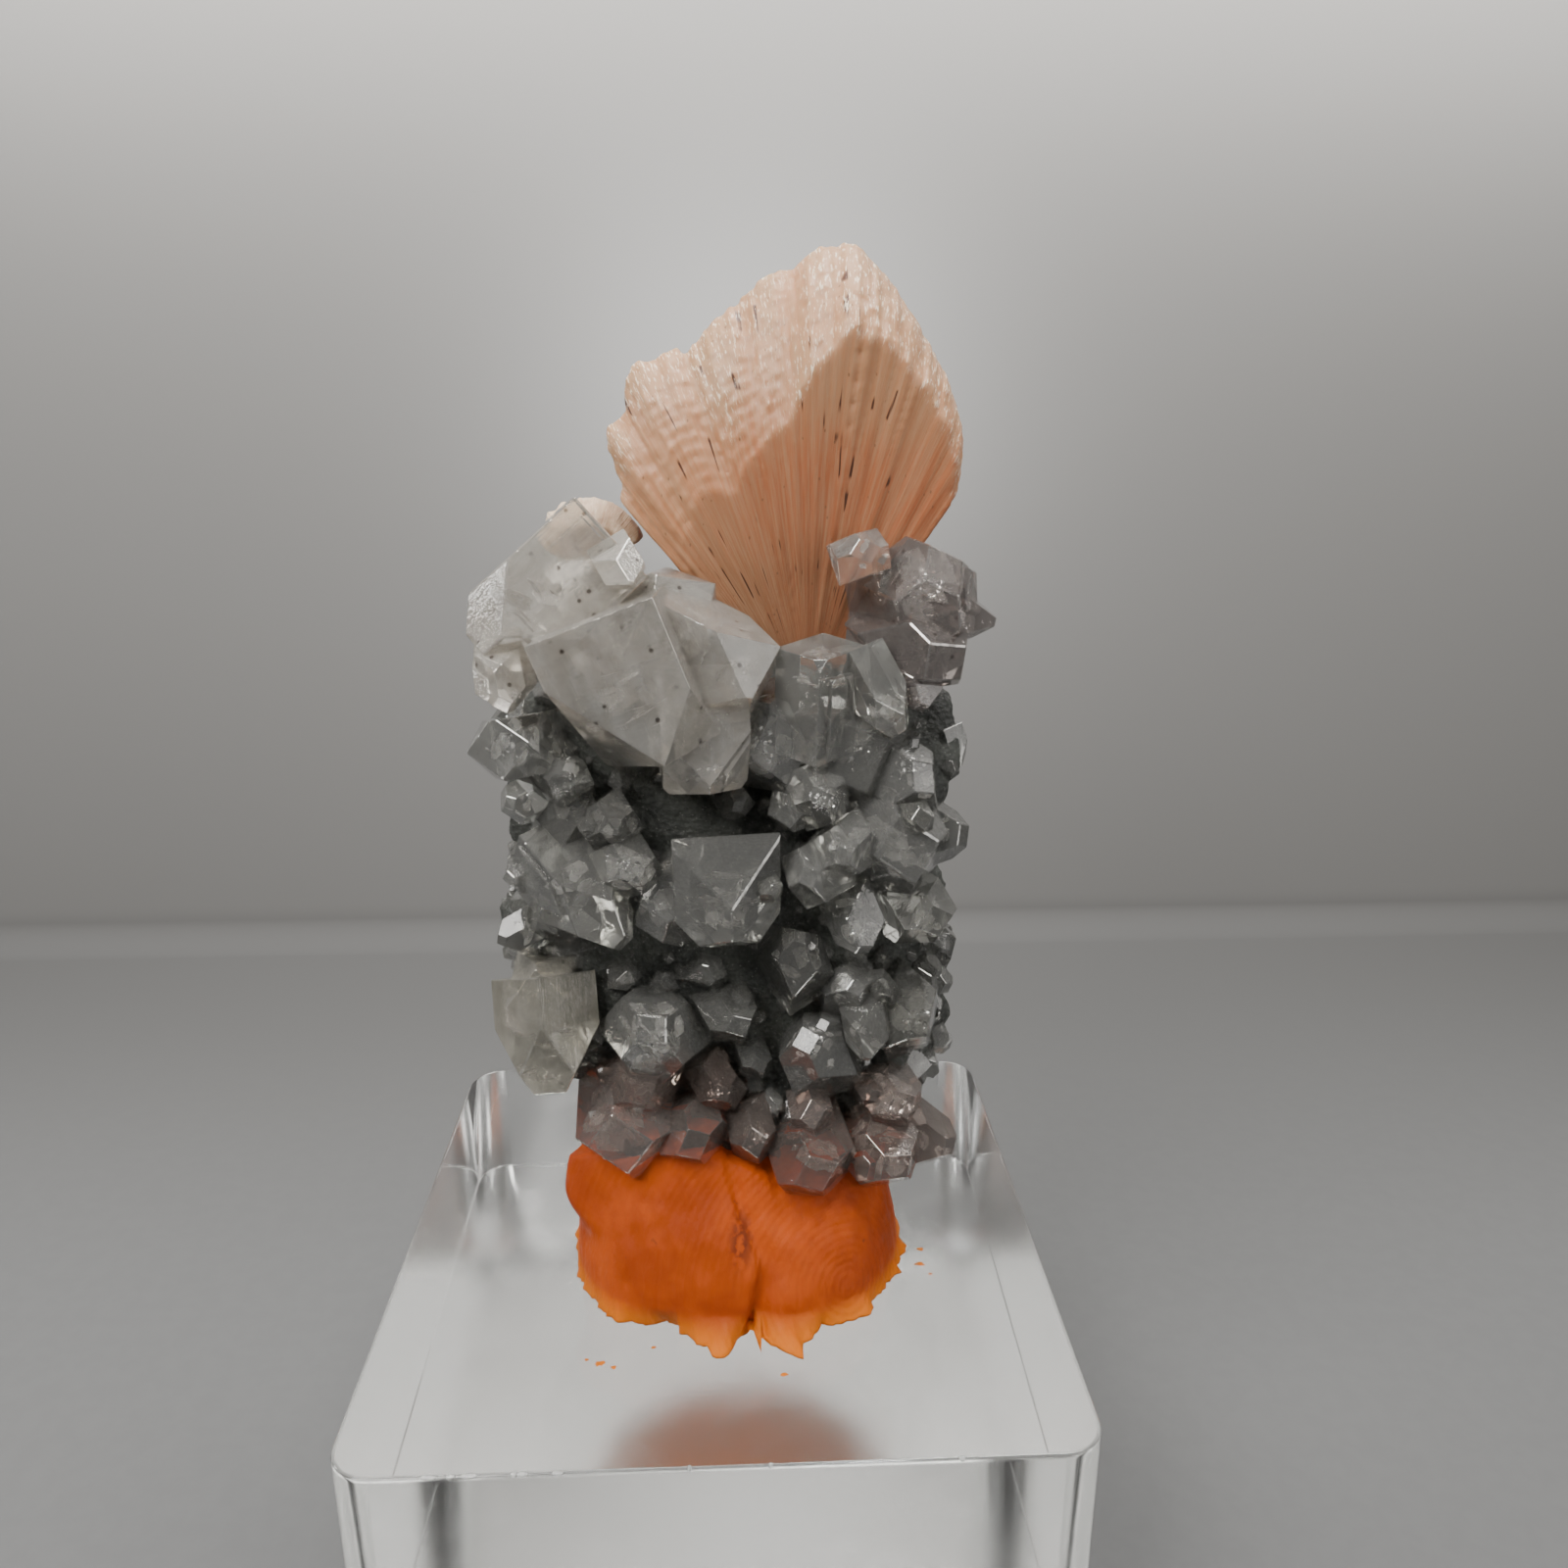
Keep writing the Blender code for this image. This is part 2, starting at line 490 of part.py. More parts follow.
def putty_point(station):
    """Place of one point of the mound, from its direction and its ring's number."""
    floor = BLOCK_HEIGHT + GAP
    angle = math.atan2(station.y, station.x)
    climb = max(0.0, (station.z - 1.0) / (PUTTY_RINGS - 1.0))
    ragged = max(0.0, 1.0 - climb / PUTTY_RAGGED_SHARE)
    spread = reach_of(PUTTY_BODY, angle)
    spread += (reach_of(PUTTY_FOOT, angle) - spread) * ragged
    spread *= min(1.0, math.hypot(station.x, station.y))
    spread *= 1.0 + PUTTY_BULGE * math.sin(math.pi * climb)
    x = PUTTY_CENTRE[0] + spread * math.cos(angle) * (1.0 - PUTTY_LEAN[0] * climb * climb)
    y = PUTTY_CENTRE[1] + spread * math.sin(angle) * (1.0 - PUTTY_LEAN[1] * climb * climb)
    if station.z < 0.5:
        return Vector((x, y, floor))
    top = value_at(PUTTY_TOP, x) - floor - PUTTY_EDGE_HEIGHT
    height = PUTTY_EDGE_HEIGHT + top * climb ** PUTTY_CLIMB_CURVE
    if y < PUTTY_CENTRE[1]:
        away = (x - PUTTY_FOLD_X) / PUTTY_FOLD_WIDTH
        y += PUTTY_FOLD_DEPTH * math.exp(-away * away) * math.sin(math.pi * climb)
    height += noise.noise(Vector((x, y, height)) / PUTTY_LUMP[0]) * PUTTY_LUMP[1] * climb
    return Vector((x, y, floor + height))


def combine(base, others, operation):
    """Boolean of one object with several, taken with the exact solver."""
    group = bpy.data.collections.new("boolean_operands")
    for other in others:
        bpy.context.scene.collection.objects.unlink(other)
        group.objects.link(other)
    bpy.context.scene.collection.children.link(group)
    step = base.modifiers.new(operation.lower(), "BOOLEAN")
    step.operation = operation
    step.operand_type = "COLLECTION"
    step.collection = group
    step.solver = "EXACT"
    evaluated = base.evaluated_get(bpy.context.evaluated_depsgraph_get())
    result = bpy.data.meshes.new_from_object(evaluated)
    base.modifiers.clear()
    base.data = result
    for other in others:
        bpy.data.objects.remove(other, do_unlink=True)
    bpy.data.collections.remove(group)
    return base


def keep_largest_piece(item):
    """Drop slivers that a cut has set loose, and weld points that fell together."""
    bm = bmesh.new()
    bm.from_mesh(item.data)
    bmesh.ops.remove_doubles(bm, verts=bm.verts, dist=WELD * MM)
    bmesh.ops.dissolve_degenerate(bm, edges=bm.edges, dist=WELD * MM)
    waiting = set(bm.verts)
    pieces = []
    while waiting:
        reached = {waiting.pop()}
        frontier = list(reached)
        while frontier:
            vertex = frontier.pop()
            for edge in vertex.link_edges:
                neighbour = edge.other_vert(vertex)
                if neighbour in waiting:
                    waiting.discard(neighbour)
                    reached.add(neighbour)
                    frontier.append(neighbour)
        pieces.append(reached)
    pieces.sort(key=len)
    for loose in pieces[:-1]:
        bmesh.ops.delete(bm, geom=list(loose), context="VERTS")
    bm.to_mesh(item.data)
    bm.free()


def grown_objects(bodies):
    """Turn bmeshes into boolean operands."""
    return [to_object("operand", body) for body in bodies]


def build_group(name, bodies, cutters, material):
    """Unite the bodies, cut away the neighbours' room and finish the node."""
    parts = grown_objects(bodies)
    item = parts[0]
    item.name = name
    if parts[1:]:
        combine(item, parts[1:], "UNION")
    if cutters:
        combine(item, grown_objects(cutters), "DIFFERENCE")
    keep_largest_piece(item)
    item.data.name = name
    item.data.materials.clear()
    item.data.materials.append(material)
    return item


def grown_crystals(*groups):
    """Every crystal of the groups with the clearance round it."""
    return [crystal_body(crystal, GAP) for group in groups for crystal in group]


def build_block():
    """The clear acrylic block, with rounded uprights and fine chamfers."""
    bm = bmesh.new()
    bmesh.ops.create_cube(bm, size=1.0)
    bmesh.ops.scale(bm, vec=(BLOCK_SIDE, BLOCK_SIDE, BLOCK_HEIGHT), verts=bm.verts)
    bmesh.ops.translate(bm, vec=(0.0, 0.0, BLOCK_HEIGHT / 2.0), verts=bm.verts)
    uprights = [edge for edge in bm.edges
                if abs(edge.verts[0].co.z - edge.verts[1].co.z) > BLOCK_HEIGHT / 2.0]
    bmesh.ops.bevel(bm, geom=uprights, offset=BLOCK_CORNER_RADIUS,
                    segments=BLOCK_CORNER_SEGMENTS, profile=0.5, affect="EDGES", material=-1)
    rims = [edge for edge in bm.edges
            if abs(edge.verts[0].co.z - edge.verts[1].co.z) < WELD
            and len(edge.link_faces) == 2]
    bmesh.ops.bevel(bm, geom=rims, offset=BLOCK_EDGE_CHAMFER, segments=1,
                    profile=0.5, affect="EDGES", material=-1)
    item = to_object("acrylic_block", bm)
    item.data.materials.append(make_material("clear acrylic", ACRYLIC))
    item.data.shade_smooth()
    item.data.set_sharp_from_angle(angle=BLOCK_SHARP_ANGLE)
    return item


def main():
    """Build every piece in order, each one cut clear of the pieces built before it."""
    clear_scene()
    build_block()
    sheaf_room = [SHEAF_BUD, UPPER_LEFT, RIGHT_BANK, UPPER_RIGHT, BACK_BANK]
    build_group("stilbite_sheaf", sheaf_laths(), grown_crystals(*sheaf_room),
                make_material("stilbite", STILBITE))
    build_group("stilbite_knob", knob_laths(),
                grown_crystals(UPPER_LEFT, BACK_BANK) + sheaf_laths(GAP),
                make_material("cream stilbite", STILBITE_CREAM))
    milky = make_material("milky apophyllite", MILKY)
    clear = make_material("clear apophyllite", CLEAR)
    smoky = make_material("smoky apophyllite", SMOKY)
    pale = make_material("pale apophyllite", PALE)
    brown = make_material("brownish apophyllite", BROWNISH)
    groups = (
        ("apophyllite_upper_left", UPPER_LEFT, (), milky),
        ("apophyllite_right_bank", RIGHT_BANK, (UPPER_LEFT,), clear),
        ("apophyllite_upper_right", UPPER_RIGHT, (RIGHT_BANK,), smoky),
        ("apophyllite_sheaf_bud", SHEAF_BUD, (UPPER_RIGHT,), clear),
        ("apophyllite_left_bank", LEFT_BANK, (UPPER_LEFT,), clear),
        ("apophyllite_middle_band", MIDDLE_BAND, (LEFT_BANK, RIGHT_BANK), clear),
        ("apophyllite_lower_left", LOWER_LEFT, (MIDDLE_BAND,), pale),
        ("apophyllite_lower_band", LOWER_BAND, (RIGHT_BANK, MIDDLE_BAND), clear),
        ("apophyllite_lower_centre", LOWER_CENTRE, (MIDDLE_BAND,), clear),
        ("apophyllite_foot_band", FOOT_BAND, (LOWER_BAND, LOWER_CENTRE, LOWER_LEFT), brown),
        ("apophyllite_back_bank", BACK_BANK, (UPPER_LEFT, UPPER_RIGHT), milky),
    )
    for name, crystals, neighbours, material in groups:
        bodies = [crystal_body(crystal) for crystal in crystals]
        build_group(name, bodies, grown_crystals(*neighbours), material)
    every_group = [crystals for _, crystals, _, _ in groups]
    build_group("basalt_matrix", matrix_bodies(),
                grown_crystals(*every_group) + sheaf_laths(GAP) + knob_laths(GAP),
                make_material("basalt", BASALT))
    specimen_room = grown_crystals(FOOT_BAND, LOWER_LEFT) + matrix_bodies(GAP)
    build_group("mounting_putty", [putty_body()], specimen_room,
                make_material("putty", PUTTY_ORANGE))


main()
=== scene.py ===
import logging
import math
import random
from collections.abc import Callable
from dataclasses import dataclass, field
from enum import Enum

import bmesh
import bpy
from mathutils import Matrix, Vector, noise


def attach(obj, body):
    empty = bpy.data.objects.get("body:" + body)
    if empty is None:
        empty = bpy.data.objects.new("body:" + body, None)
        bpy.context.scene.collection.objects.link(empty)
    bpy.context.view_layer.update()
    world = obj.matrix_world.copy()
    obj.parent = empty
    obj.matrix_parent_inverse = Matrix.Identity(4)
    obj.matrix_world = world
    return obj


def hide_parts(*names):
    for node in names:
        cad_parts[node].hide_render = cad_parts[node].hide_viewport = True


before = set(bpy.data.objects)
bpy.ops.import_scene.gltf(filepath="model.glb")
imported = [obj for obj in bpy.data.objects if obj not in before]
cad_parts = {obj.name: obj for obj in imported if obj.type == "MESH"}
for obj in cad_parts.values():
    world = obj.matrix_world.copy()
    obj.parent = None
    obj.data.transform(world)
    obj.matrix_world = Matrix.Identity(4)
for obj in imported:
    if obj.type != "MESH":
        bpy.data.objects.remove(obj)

LOG = logging.getLogger("cluster")
MM = 0.001
BODY = "root"
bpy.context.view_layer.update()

Point = tuple[float, float, float]
Colour = tuple[float, float, float]
Span = tuple[float, float]
Curve = tuple[Span, ...]
Feed = bpy.types.NodeSocket | float | tuple

# The block's height in millimetres, on which the putty stands too
BLOCK_HEIGHT = 25.4

# The colours of the lamps
WARM: Colour = (1.0, 0.975, 0.94)
WHITE: Colour = (1.0, 1.0, 1.0)

# The point faces of apophyllite lean this much from the flat end
POINT_FACE_ANGLE = math.radians(60.0)

# The seed of the first group of crystals, with the next ones counted up from it
FIRST_SEED = 100

# Corners nearer than this to a cutting plane count as on it
CUT_TOLERANCE = 1e-5
# An aim is upright, and needs another guide, when its rise is more than this
NEARLY_UPRIGHT = 0.9


@dataclass(frozen=True)
class Crystal:
    """A square prism whose four point faces stand over the prism's edges."""

    end: Point
    aim: Point
    across: float
    length: float
    roll: float = 0.0
    blunt: float = 1.0


UPPER_LEFT = (
    Crystal((-14.9, -7.6, 74.9), (-0.74, -0.18, -0.65), 6.2, 11.2, 6, 1.9),
    Crystal((-3.4, -7.8, 68.2), (0.36, -0.02, -0.93), 9.4, 10.2, 4, 5.4),
    Crystal((-13.4, -10.4, 72.0), (0.05, -0.80, -0.50), 3.4, 5.3, 12, 0.8),
    Crystal((3.3, -8.6, 72.6), (0.88, -0.22, -0.42), 5.8, 8.6, 6, 3.2),
    Crystal((-0.5, -8.6, 65.5), (0.06, -0.20, -0.98), 5.6, 8.6, -10, 2.7),
    Crystal((-4.9, -10.6, 79.8), (0.30, -0.85, -0.30), 2.6, 4.4, 30, 0.3),
    Crystal((-2.2, -7.6, 77.6), (0.45, -0.78, 0.44), 6.8, 7.4, 25, 3.6),
)
RIGHT_BANK = (
    Crystal((7.3, -8.0, 75.2), (0.02, -0.14, 0.99), 4.3, 7.4, 45, 5.4),
    Crystal((12.4, -9.2, 69.5), (0.45, -0.35, -0.82), 3.0, 6.2, 20, 1.0),
    Crystal((4.4, -8.8, 68.2), (0.15, -0.95, -0.05), 6.0, 6.0, 12, 2.8),
    Crystal((9.4, -9.0, 68.0), (-0.10, -0.95, 0.00), 7.0, 6.6, 28, 3.2),
    Crystal((7.1, -11.0, 65.8), (0.02, -0.95, 0.22), 3.9, 5.6, 25, 0.9),
    Crystal((5.0, -9.4, 63.9), (-0.30, -0.88, 0.00), 3.0, 4.0, 10, 1.2),
    Crystal((14.1, -9.7, 66.5), (0.35, -0.90, 0.25), 5.4, 6.6, 38, 1.6),
    Crystal((12.9, -10.3, 61.6), (0.15, -0.95, 0.05), 7.6, 7.6, 12, 3.0),
    Crystal((13.8, -11.0, 64.2), (0.10, -0.95, 0.25), 2.0, 3.0, 8, 0.9),
    Crystal((17.4, -7.5, 61.7), (0.75, -0.65, 0.10), 4.8, 6.4, 25, 1.2),
    Crystal((8.6, -12.1, 62.0), (-0.15, -0.95, 0.15), 4.0, 5.6, 38, 1.1),
    Crystal((15.4, -9.4, 56.0), (0.30, -0.92, 0.10), 4.0, 5.2, 12, 1.6),
    Crystal((10.3, -9.6, 54.1), (0.10, -0.80, -0.50), 3.8, 6.4, 35, 0.9),
    Crystal((6.4, -11.2, 60.2), (-0.20, -0.93, 0.25), 4.0, 5.6, 30, 0.9),
)
UPPER_RIGHT = (
    Crystal((15.2, -8.1, 80.2), (0.22, -0.82, 0.52), 6.8, 8.6, 22, 2.1),
    Crystal((15.6, -8.2, 74.2), (0.30, -0.90, -0.15), 6.2, 7.4, 40, 2.4),
    Crystal((19.2, -5.7, 76.4), (0.85, -0.45, -0.10), 3.6, 7.4, 30, 0.6),
    Crystal((14.0, -8.5, 71.1), (0.10, -0.80, -0.55), 3.2, 5.4, 15, 0.6),
    Crystal((13.2, -2.0, 80.6), (0.10, 0.10, 0.98), 4.6, 9.0, 30, 1.8),
)
SHEAF_BUD = (
    Crystal((10.0, -8.6, 81.4), (0.05, -0.93, 0.20), 3.1, 3.6, 18, 1.1),
)
LEFT_BANK = (
    Crystal((-14.2, -8.7, 68.5), (-0.40, -0.90, 0.10), 4.5, 5.2, 12, 2.6),
    Crystal((-9.8, -8.7, 67.3), (0.10, -0.80, 0.55), 2.6, 4.2, 30, 0.9),
    Crystal((-13.6, -8.9, 65.0), (-0.25, -0.92, 0.20), 2.7, 4.4, 35, 0.7),
    Crystal((-10.5, -7.4, 63.6), (-0.15, -0.95, 0.25), 4.2, 4.4, 8, 2.6),
    Crystal((-7.0, -9.5, 63.4), (0.10, -0.93, 0.20), 3.6, 5.2, 30, 1.0),
    Crystal((-11.8, -6.8, 66.6), (-0.20, -0.95, 0.10), 4.0, 4.4, 30, 2.6),
)
MIDDLE_BAND = (
    Crystal((1.0, -10.6, 55.1), (0.06, -0.50, -0.86), 7.0, 7.0, 2, 2.3),
    Crystal((-4.4, -9.5, 56.4), (-0.45, -0.80, -0.20), 5.6, 6.4, 20, 1.9),
    Crystal((4.0, -11.4, 59.3), (0.25, -0.93, 0.20), 1.7, 4.2, 15, 0.5),
    Crystal((-5.6, -10.8, 60.6), (0.15, -0.93, 0.20), 4.0, 6.0, 28, 1.2),
    Crystal((-6.3, -10.4, 55.3), (0.62, -0.52, -0.56), 5.0, 9.6, 12, 1.2),
    Crystal((-11.5, -9.0, 56.4), (-0.20, -0.93, 0.15), 4.4, 5.2, 30, 1.4),
    Crystal((-14.3, -7.8, 59.2), (-0.50, -0.85, 0.10), 2.9, 5.0, 15, 0.8),
    Crystal((-15.0, -8.1, 54.6), (-0.50, -0.85, 0.00), 2.7, 5.2, 35, 0.6),
)
LOWER_LEFT = (
    Crystal((-12.9, -8.2, 49.9), (-0.12, -0.97, 0.15), 4.9, 6.6, 3, 2.9),
    Crystal((-12.0, -8.8, 43.0), (0.08, -0.38, -0.92), 5.5, 8.4, 45, 1.8),
)
LOWER_BAND = (
    Crystal((5.9, -9.7, 55.3), (0.05, -0.62, 0.78), 4.1, 7.0, 30, 0.7),
    Crystal((9.8, -9.5, 51.1), (0.15, -0.88, 0.40), 3.6, 6.0, 12, 0.8),
    Crystal((6.2, -10.2, 47.5), (-0.25, -0.72, 0.62), 4.9, 8.6, 25, 1.3),
    Crystal((14.3, -10.5, 48.5), (0.22, -0.93, 0.20), 5.4, 7.0, 38, 1.3),
    Crystal((10.5, -10.8, 46.2), (-0.10, -0.74, -0.62), 3.1, 6.2, 20, 0.5),
    Crystal((12.0, -10.0, 51.0), (0.00, -0.90, 0.40), 1.9, 4.4, 30, 0.4),
)
LOWER_CENTRE = (
    Crystal((-4.6, -10.7, 48.9), (0.02, -0.85, 0.52), 6.2, 7.4, 40, 1.8),
)
FOOT_BAND = (
    Crystal((7.0, -12.2, 38.1), (0.02, -0.95, 0.20), 5.6, 8.4, 22, 1.8),
    Crystal((6.8, -9.9, 41.2), (0.00, -0.90, 0.42), 3.4, 5.2, 10, 1.2),
    Crystal((-5.5, -9.8, 43.5), (0.05, -0.93, 0.25), 5.0, 5.8, 30, 1.8),
    Crystal((-7.2, -10.4, 39.7), (-0.10, -0.95, 0.10), 7.2, 7.6, 10, 3.1),
    Crystal((-1.9, -11.0, 39.7), (0.05, -0.93, 0.20), 4.8, 6.8, 25, 1.6),
    Crystal((0.1, -10.0, 43.3), (0.10, -0.93, 0.25), 3.6, 6.0, 33, 0.9),
    Crystal((2.6, -10.2, 39.3), (0.10, -0.93, 0.15), 3.9, 6.2, 10, 1.3),
    Crystal((12.9, -11.0, 37.5), (0.20, -0.93, 0.15), 5.6, 7.8, 38, 1.8),
    Crystal((17.5, -6.9, 36.5), (0.72, -0.66, 0.08), 4.3, 6.6, 20, 1.2),
    Crystal((13.4, -9.6, 41.8), (0.20, -0.93, 0.25), 4.4, 5.4, 20, 1.4),
)
BACK_BANK = (
    Crystal((-9.6, 1.2, 80.2), (-0.10, -0.05, 0.99), 5.4, 7.0, 28, 2.4),
    Crystal((-7.5, 5.8, 77.8), (0.10, 0.35, 0.92), 5.6, 8.0, 20, 1.8),
    Crystal((-13.2, 1.6, 75.2), (-0.60, 0.10, 0.80), 5.4, 8.0, 35, 1.4),
    Crystal((-2.4, 8.4, 74.4), (0.05, 0.65, 0.75), 5.2, 8.0, 10, 1.6),
    Crystal((-9.2, 10.6, 70.2), (-0.20, 0.95, 0.25), 5.0, 7.0, 30, 1.4),
    Crystal((2.4, 11.0, 70.4), (0.20, 0.93, 0.30), 4.4, 6.5, 25, 1.0),
)
MATRIX_SINGLES = (
    Crystal((1.6, -9.4, 48.3), (0.30, -0.93, 0.10), 3.8, 5.4, 20, 1.3),
    Crystal((1.6, -8.3, 64.2), (0.10, -0.95, 0.10), 2.2, 4.4, 35, 0.6),
    Crystal((3.0, -8.4, 44.6), (0.20, -0.95, 0.20), 2.4, 4.4, 10, 0.7),
)


def value_at(curve: Curve, at: float) -> float:
    """Read a curve of (place, value) points, straight between them.

    Args:
        curve: the points, in rising order of place.
        at: the place to read.

    Returns:
        The value there, held constant past both ends.
    """
    if at <= curve[0][0]:
        return curve[0][1]
    for (start, low), (finish, high) in zip(curve, curve[1:]):
        if at <= finish:
            return low + (high - low) * (at - start) / (finish - start)
    return curve[-1][1]


def ease(start: float, finish: float, at: float) -> float:
    """Climb smoothly from 0 at the start to 1 at the finish, whichever is larger."""
    share = max(0.0, min(1.0, (at - start) / (finish - start)))
    return share * share * (3.0 - 2.0 * share)


def only(kind: type, parts: list) -> list:
    """Keep the corners, edges or faces among what an operator made."""
    return [part for part in parts if isinstance(part, kind)]


def slice_off(bm: bmesh.types.BMesh, point: Vector, normal: Vector) -> None:
    """Cut away what lies beyond a plane and close the cut with one face.

    Args:
        bm: the closed body to cut.
        point: a point on the plane.
        normal: the way that the plane looks, out of what stays.
    """
    everything = bm.verts[:] + bm.edges[:] + bm.faces[:]
    cut = bmesh.ops.bisect_plane(
        bm, geom=everything, dist=CUT_TOLERANCE, plane_co=point, plane_no=normal, clear_outer=True)
    rim = only(bmesh.types.BMEdge, cut["geom_cut"])
    if rim:
        bmesh.ops.edgenet_fill(bm, edges=rim)


def draw_out(bm: bmesh.types.BMesh, edges: list[bmesh.types.BMEdge]
             ) -> tuple[list[bmesh.types.BMVert], list[bmesh.types.BMEdge]]:
    """Extrude a row of edges.

    Args:
        bm: the mesh.
        edges: the row.

    Returns:
        The new corners, still where the old ones are, and the new row.
    """
    drawn = bmesh.ops.extrude_edge_only(bm, edges=edges)["geom"]
    corners = only(bmesh.types.BMVert, drawn)
    rim = set(corners)
    return corners, [edge for edge in only(bmesh.types.BMEdge, drawn)
                     if rim.issuperset(edge.verts)]


def round_off(bm: bmesh.types.BMesh, edges: list[bmesh.types.BMEdge], offset: float,
              segments: int, clamp: bool = False) -> list[bmesh.types.BMFace]:
    """Round edges off.

    Args:
        bm: the mesh.
        edges: the edges.
        offset: how far the rounding reaches from each.
        segments: how many strips of faces it has.
        clamp: whether it stops where two roundings would meet.

    Returns:
        The new faces.
    """
    return bmesh.ops.bevel(bm, geom=edges, offset=offset, segments=segments, profile=0.5,
                           affect="EDGES", material=-1, clamp_overlap=clamp)["faces"]


def stand_along(aim: Vector, roll: float) -> Matrix:
    """Turn +Z to the aim, keep X level, then roll about the aim.

    Args:
        aim: the way that the crystal's end looks.
        roll: degrees about that way.

    Returns:
        The rotation as a 4 x 4 matrix.
    """
    axis = Vector(aim).normalized()
    guide = Vector((0.0, 0.0, 1.0)) if abs(axis.z) < NEARLY_UPRIGHT else Vector((0.0, -1.0, 0.0))
    level = guide.cross(axis).normalized()
    turned = Matrix((level, axis.cross(level), axis)).transposed()
    return turned.to_4x4() @ Matrix.Rotation(math.radians(roll), 4, "Z")


def join_into(target: bmesh.types.BMesh, body: bmesh.types.BMesh) -> None:
    """Add a finished body to a piece's mesh.

    Args:
        target: the piece's mesh.
        body: the body, which is freed.
    """
    holder = bpy.data.meshes.new("holder")
    body.to_mesh(holder)
    body.free()
    target.from_mesh(holder)
    bpy.data.meshes.remove(holder)


def new_growth() -> bmesh.types.BMesh:
    """Start an empty mesh for crystals.

    Returns:
        The mesh, which can keep each crystal's own axes, shade and worn edges, the last with a
        painted highlight.
    """
    bm = bmesh.new()
    bm.verts.layers.float_vector.new("grain")
    bm.verts.layers.float.new("shade")
    bm.faces.layers.float.new("wear_and_highlight")
    return bm


def as_object(name: str, bm: bmesh.types.BMesh) -> bpy.types.Object:
    """Put a mesh into the scene as an object.

    Args:
        name: the object's name.
        bm: its mesh, which is freed.

    Returns:
        The object.
    """
    mesh = bpy.data.meshes.new(name)
    bm.to_mesh(mesh)
    bm.free()
    item = bpy.data.objects.new(name, mesh)
    bpy.context.scene.collection.objects.link(item)
    return item


def take_result(items: list[bpy.types.Object]) -> bmesh.types.BMesh:
    """Read what the first object's modifiers make, and clear all the objects away.

    Args:
        items: the objects; the first carries the modifiers.

    Returns:
        The mesh that they made.
    """
    made = bpy.data.meshes.new_from_object(
        items[0].evaluated_get(bpy.context.evaluated_depsgraph_get()))
    bm = bmesh.new()
    bm.from_mesh(made)
    meshes = [item.data for item in items] + [made]
    for item in items:
        bpy.data.objects.remove(item, do_unlink=True)
    for mesh in meshes:
        bpy.data.meshes.remove(mesh)
    return bm


def grow_together(bodies: list[bmesh.types.BMesh]) -> bmesh.types.BMesh:
    """Merge closed bodies that run into each other into one.

    Args:
        bodies: the bodies, which are freed; the first is the largest.

    Returns:
        The merged body.
    """
    if len(bodies) == 1:
        return bodies[0]
    items = [as_object(f"part_{number}", body) for number, body in enumerate(bodies)]
    for item in items[1:]:
        join = items[0].modifiers.new("join", "BOOLEAN")
        join.operation = "UNION"
        join.solver = "EXACT"
        join.object = item
    return take_result(items)


def melt(bm: bmesh.types.BMesh, voxel: float) -> bmesh.types.BMesh:
    """Merge overlapping bodies into one even skin.

    Args:
        bm: the bodies, which are freed.
        voxel: the side of the skin's faces.

    Returns:
        The merged body.
    """
    item = as_object("melting", bm)
    remesh = item.modifiers.new("melt", "REMESH")
    remesh.mode = "VOXEL"
    remesh.voxel_size = voxel
    whole = take_result([item])
    whole.normal_update()
    return whole


def to_piece(name: str, bm: bmesh.types.BMesh) -> bpy.types.Object:
    """Turn a mesh in millimetres into a piece at the origin.

    Args:
        name: the piece's name.
        bm: its mesh, which is freed.

    Returns:
        The object, linked to the scene.
    """
    bmesh.ops.scale(bm, vec=(MM, MM, MM), verts=bm.verts)
    bmesh.ops.recalc_face_normals(bm, faces=bm.faces)
    return as_object(name, bm)


def hand_over(piece: bpy.types.Object, material: bpy.types.Material, slot: str,
              *nodes: str) -> None:
    """Dress a piece, fix it to the body and hide the solids that it replaces.

    Args:
        piece: the finished piece.
        material: what it is made of.
        slot: the material slot; not used.
        nodes: the solids that it replaces, if any.
    """
    piece.data.materials.clear()
    piece.data.materials.append(material)
    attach(piece, BODY)
    if nodes:
        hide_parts(*nodes)
    LOG.info("%s: %d faces", piece.name, len(piece.data.polygons))


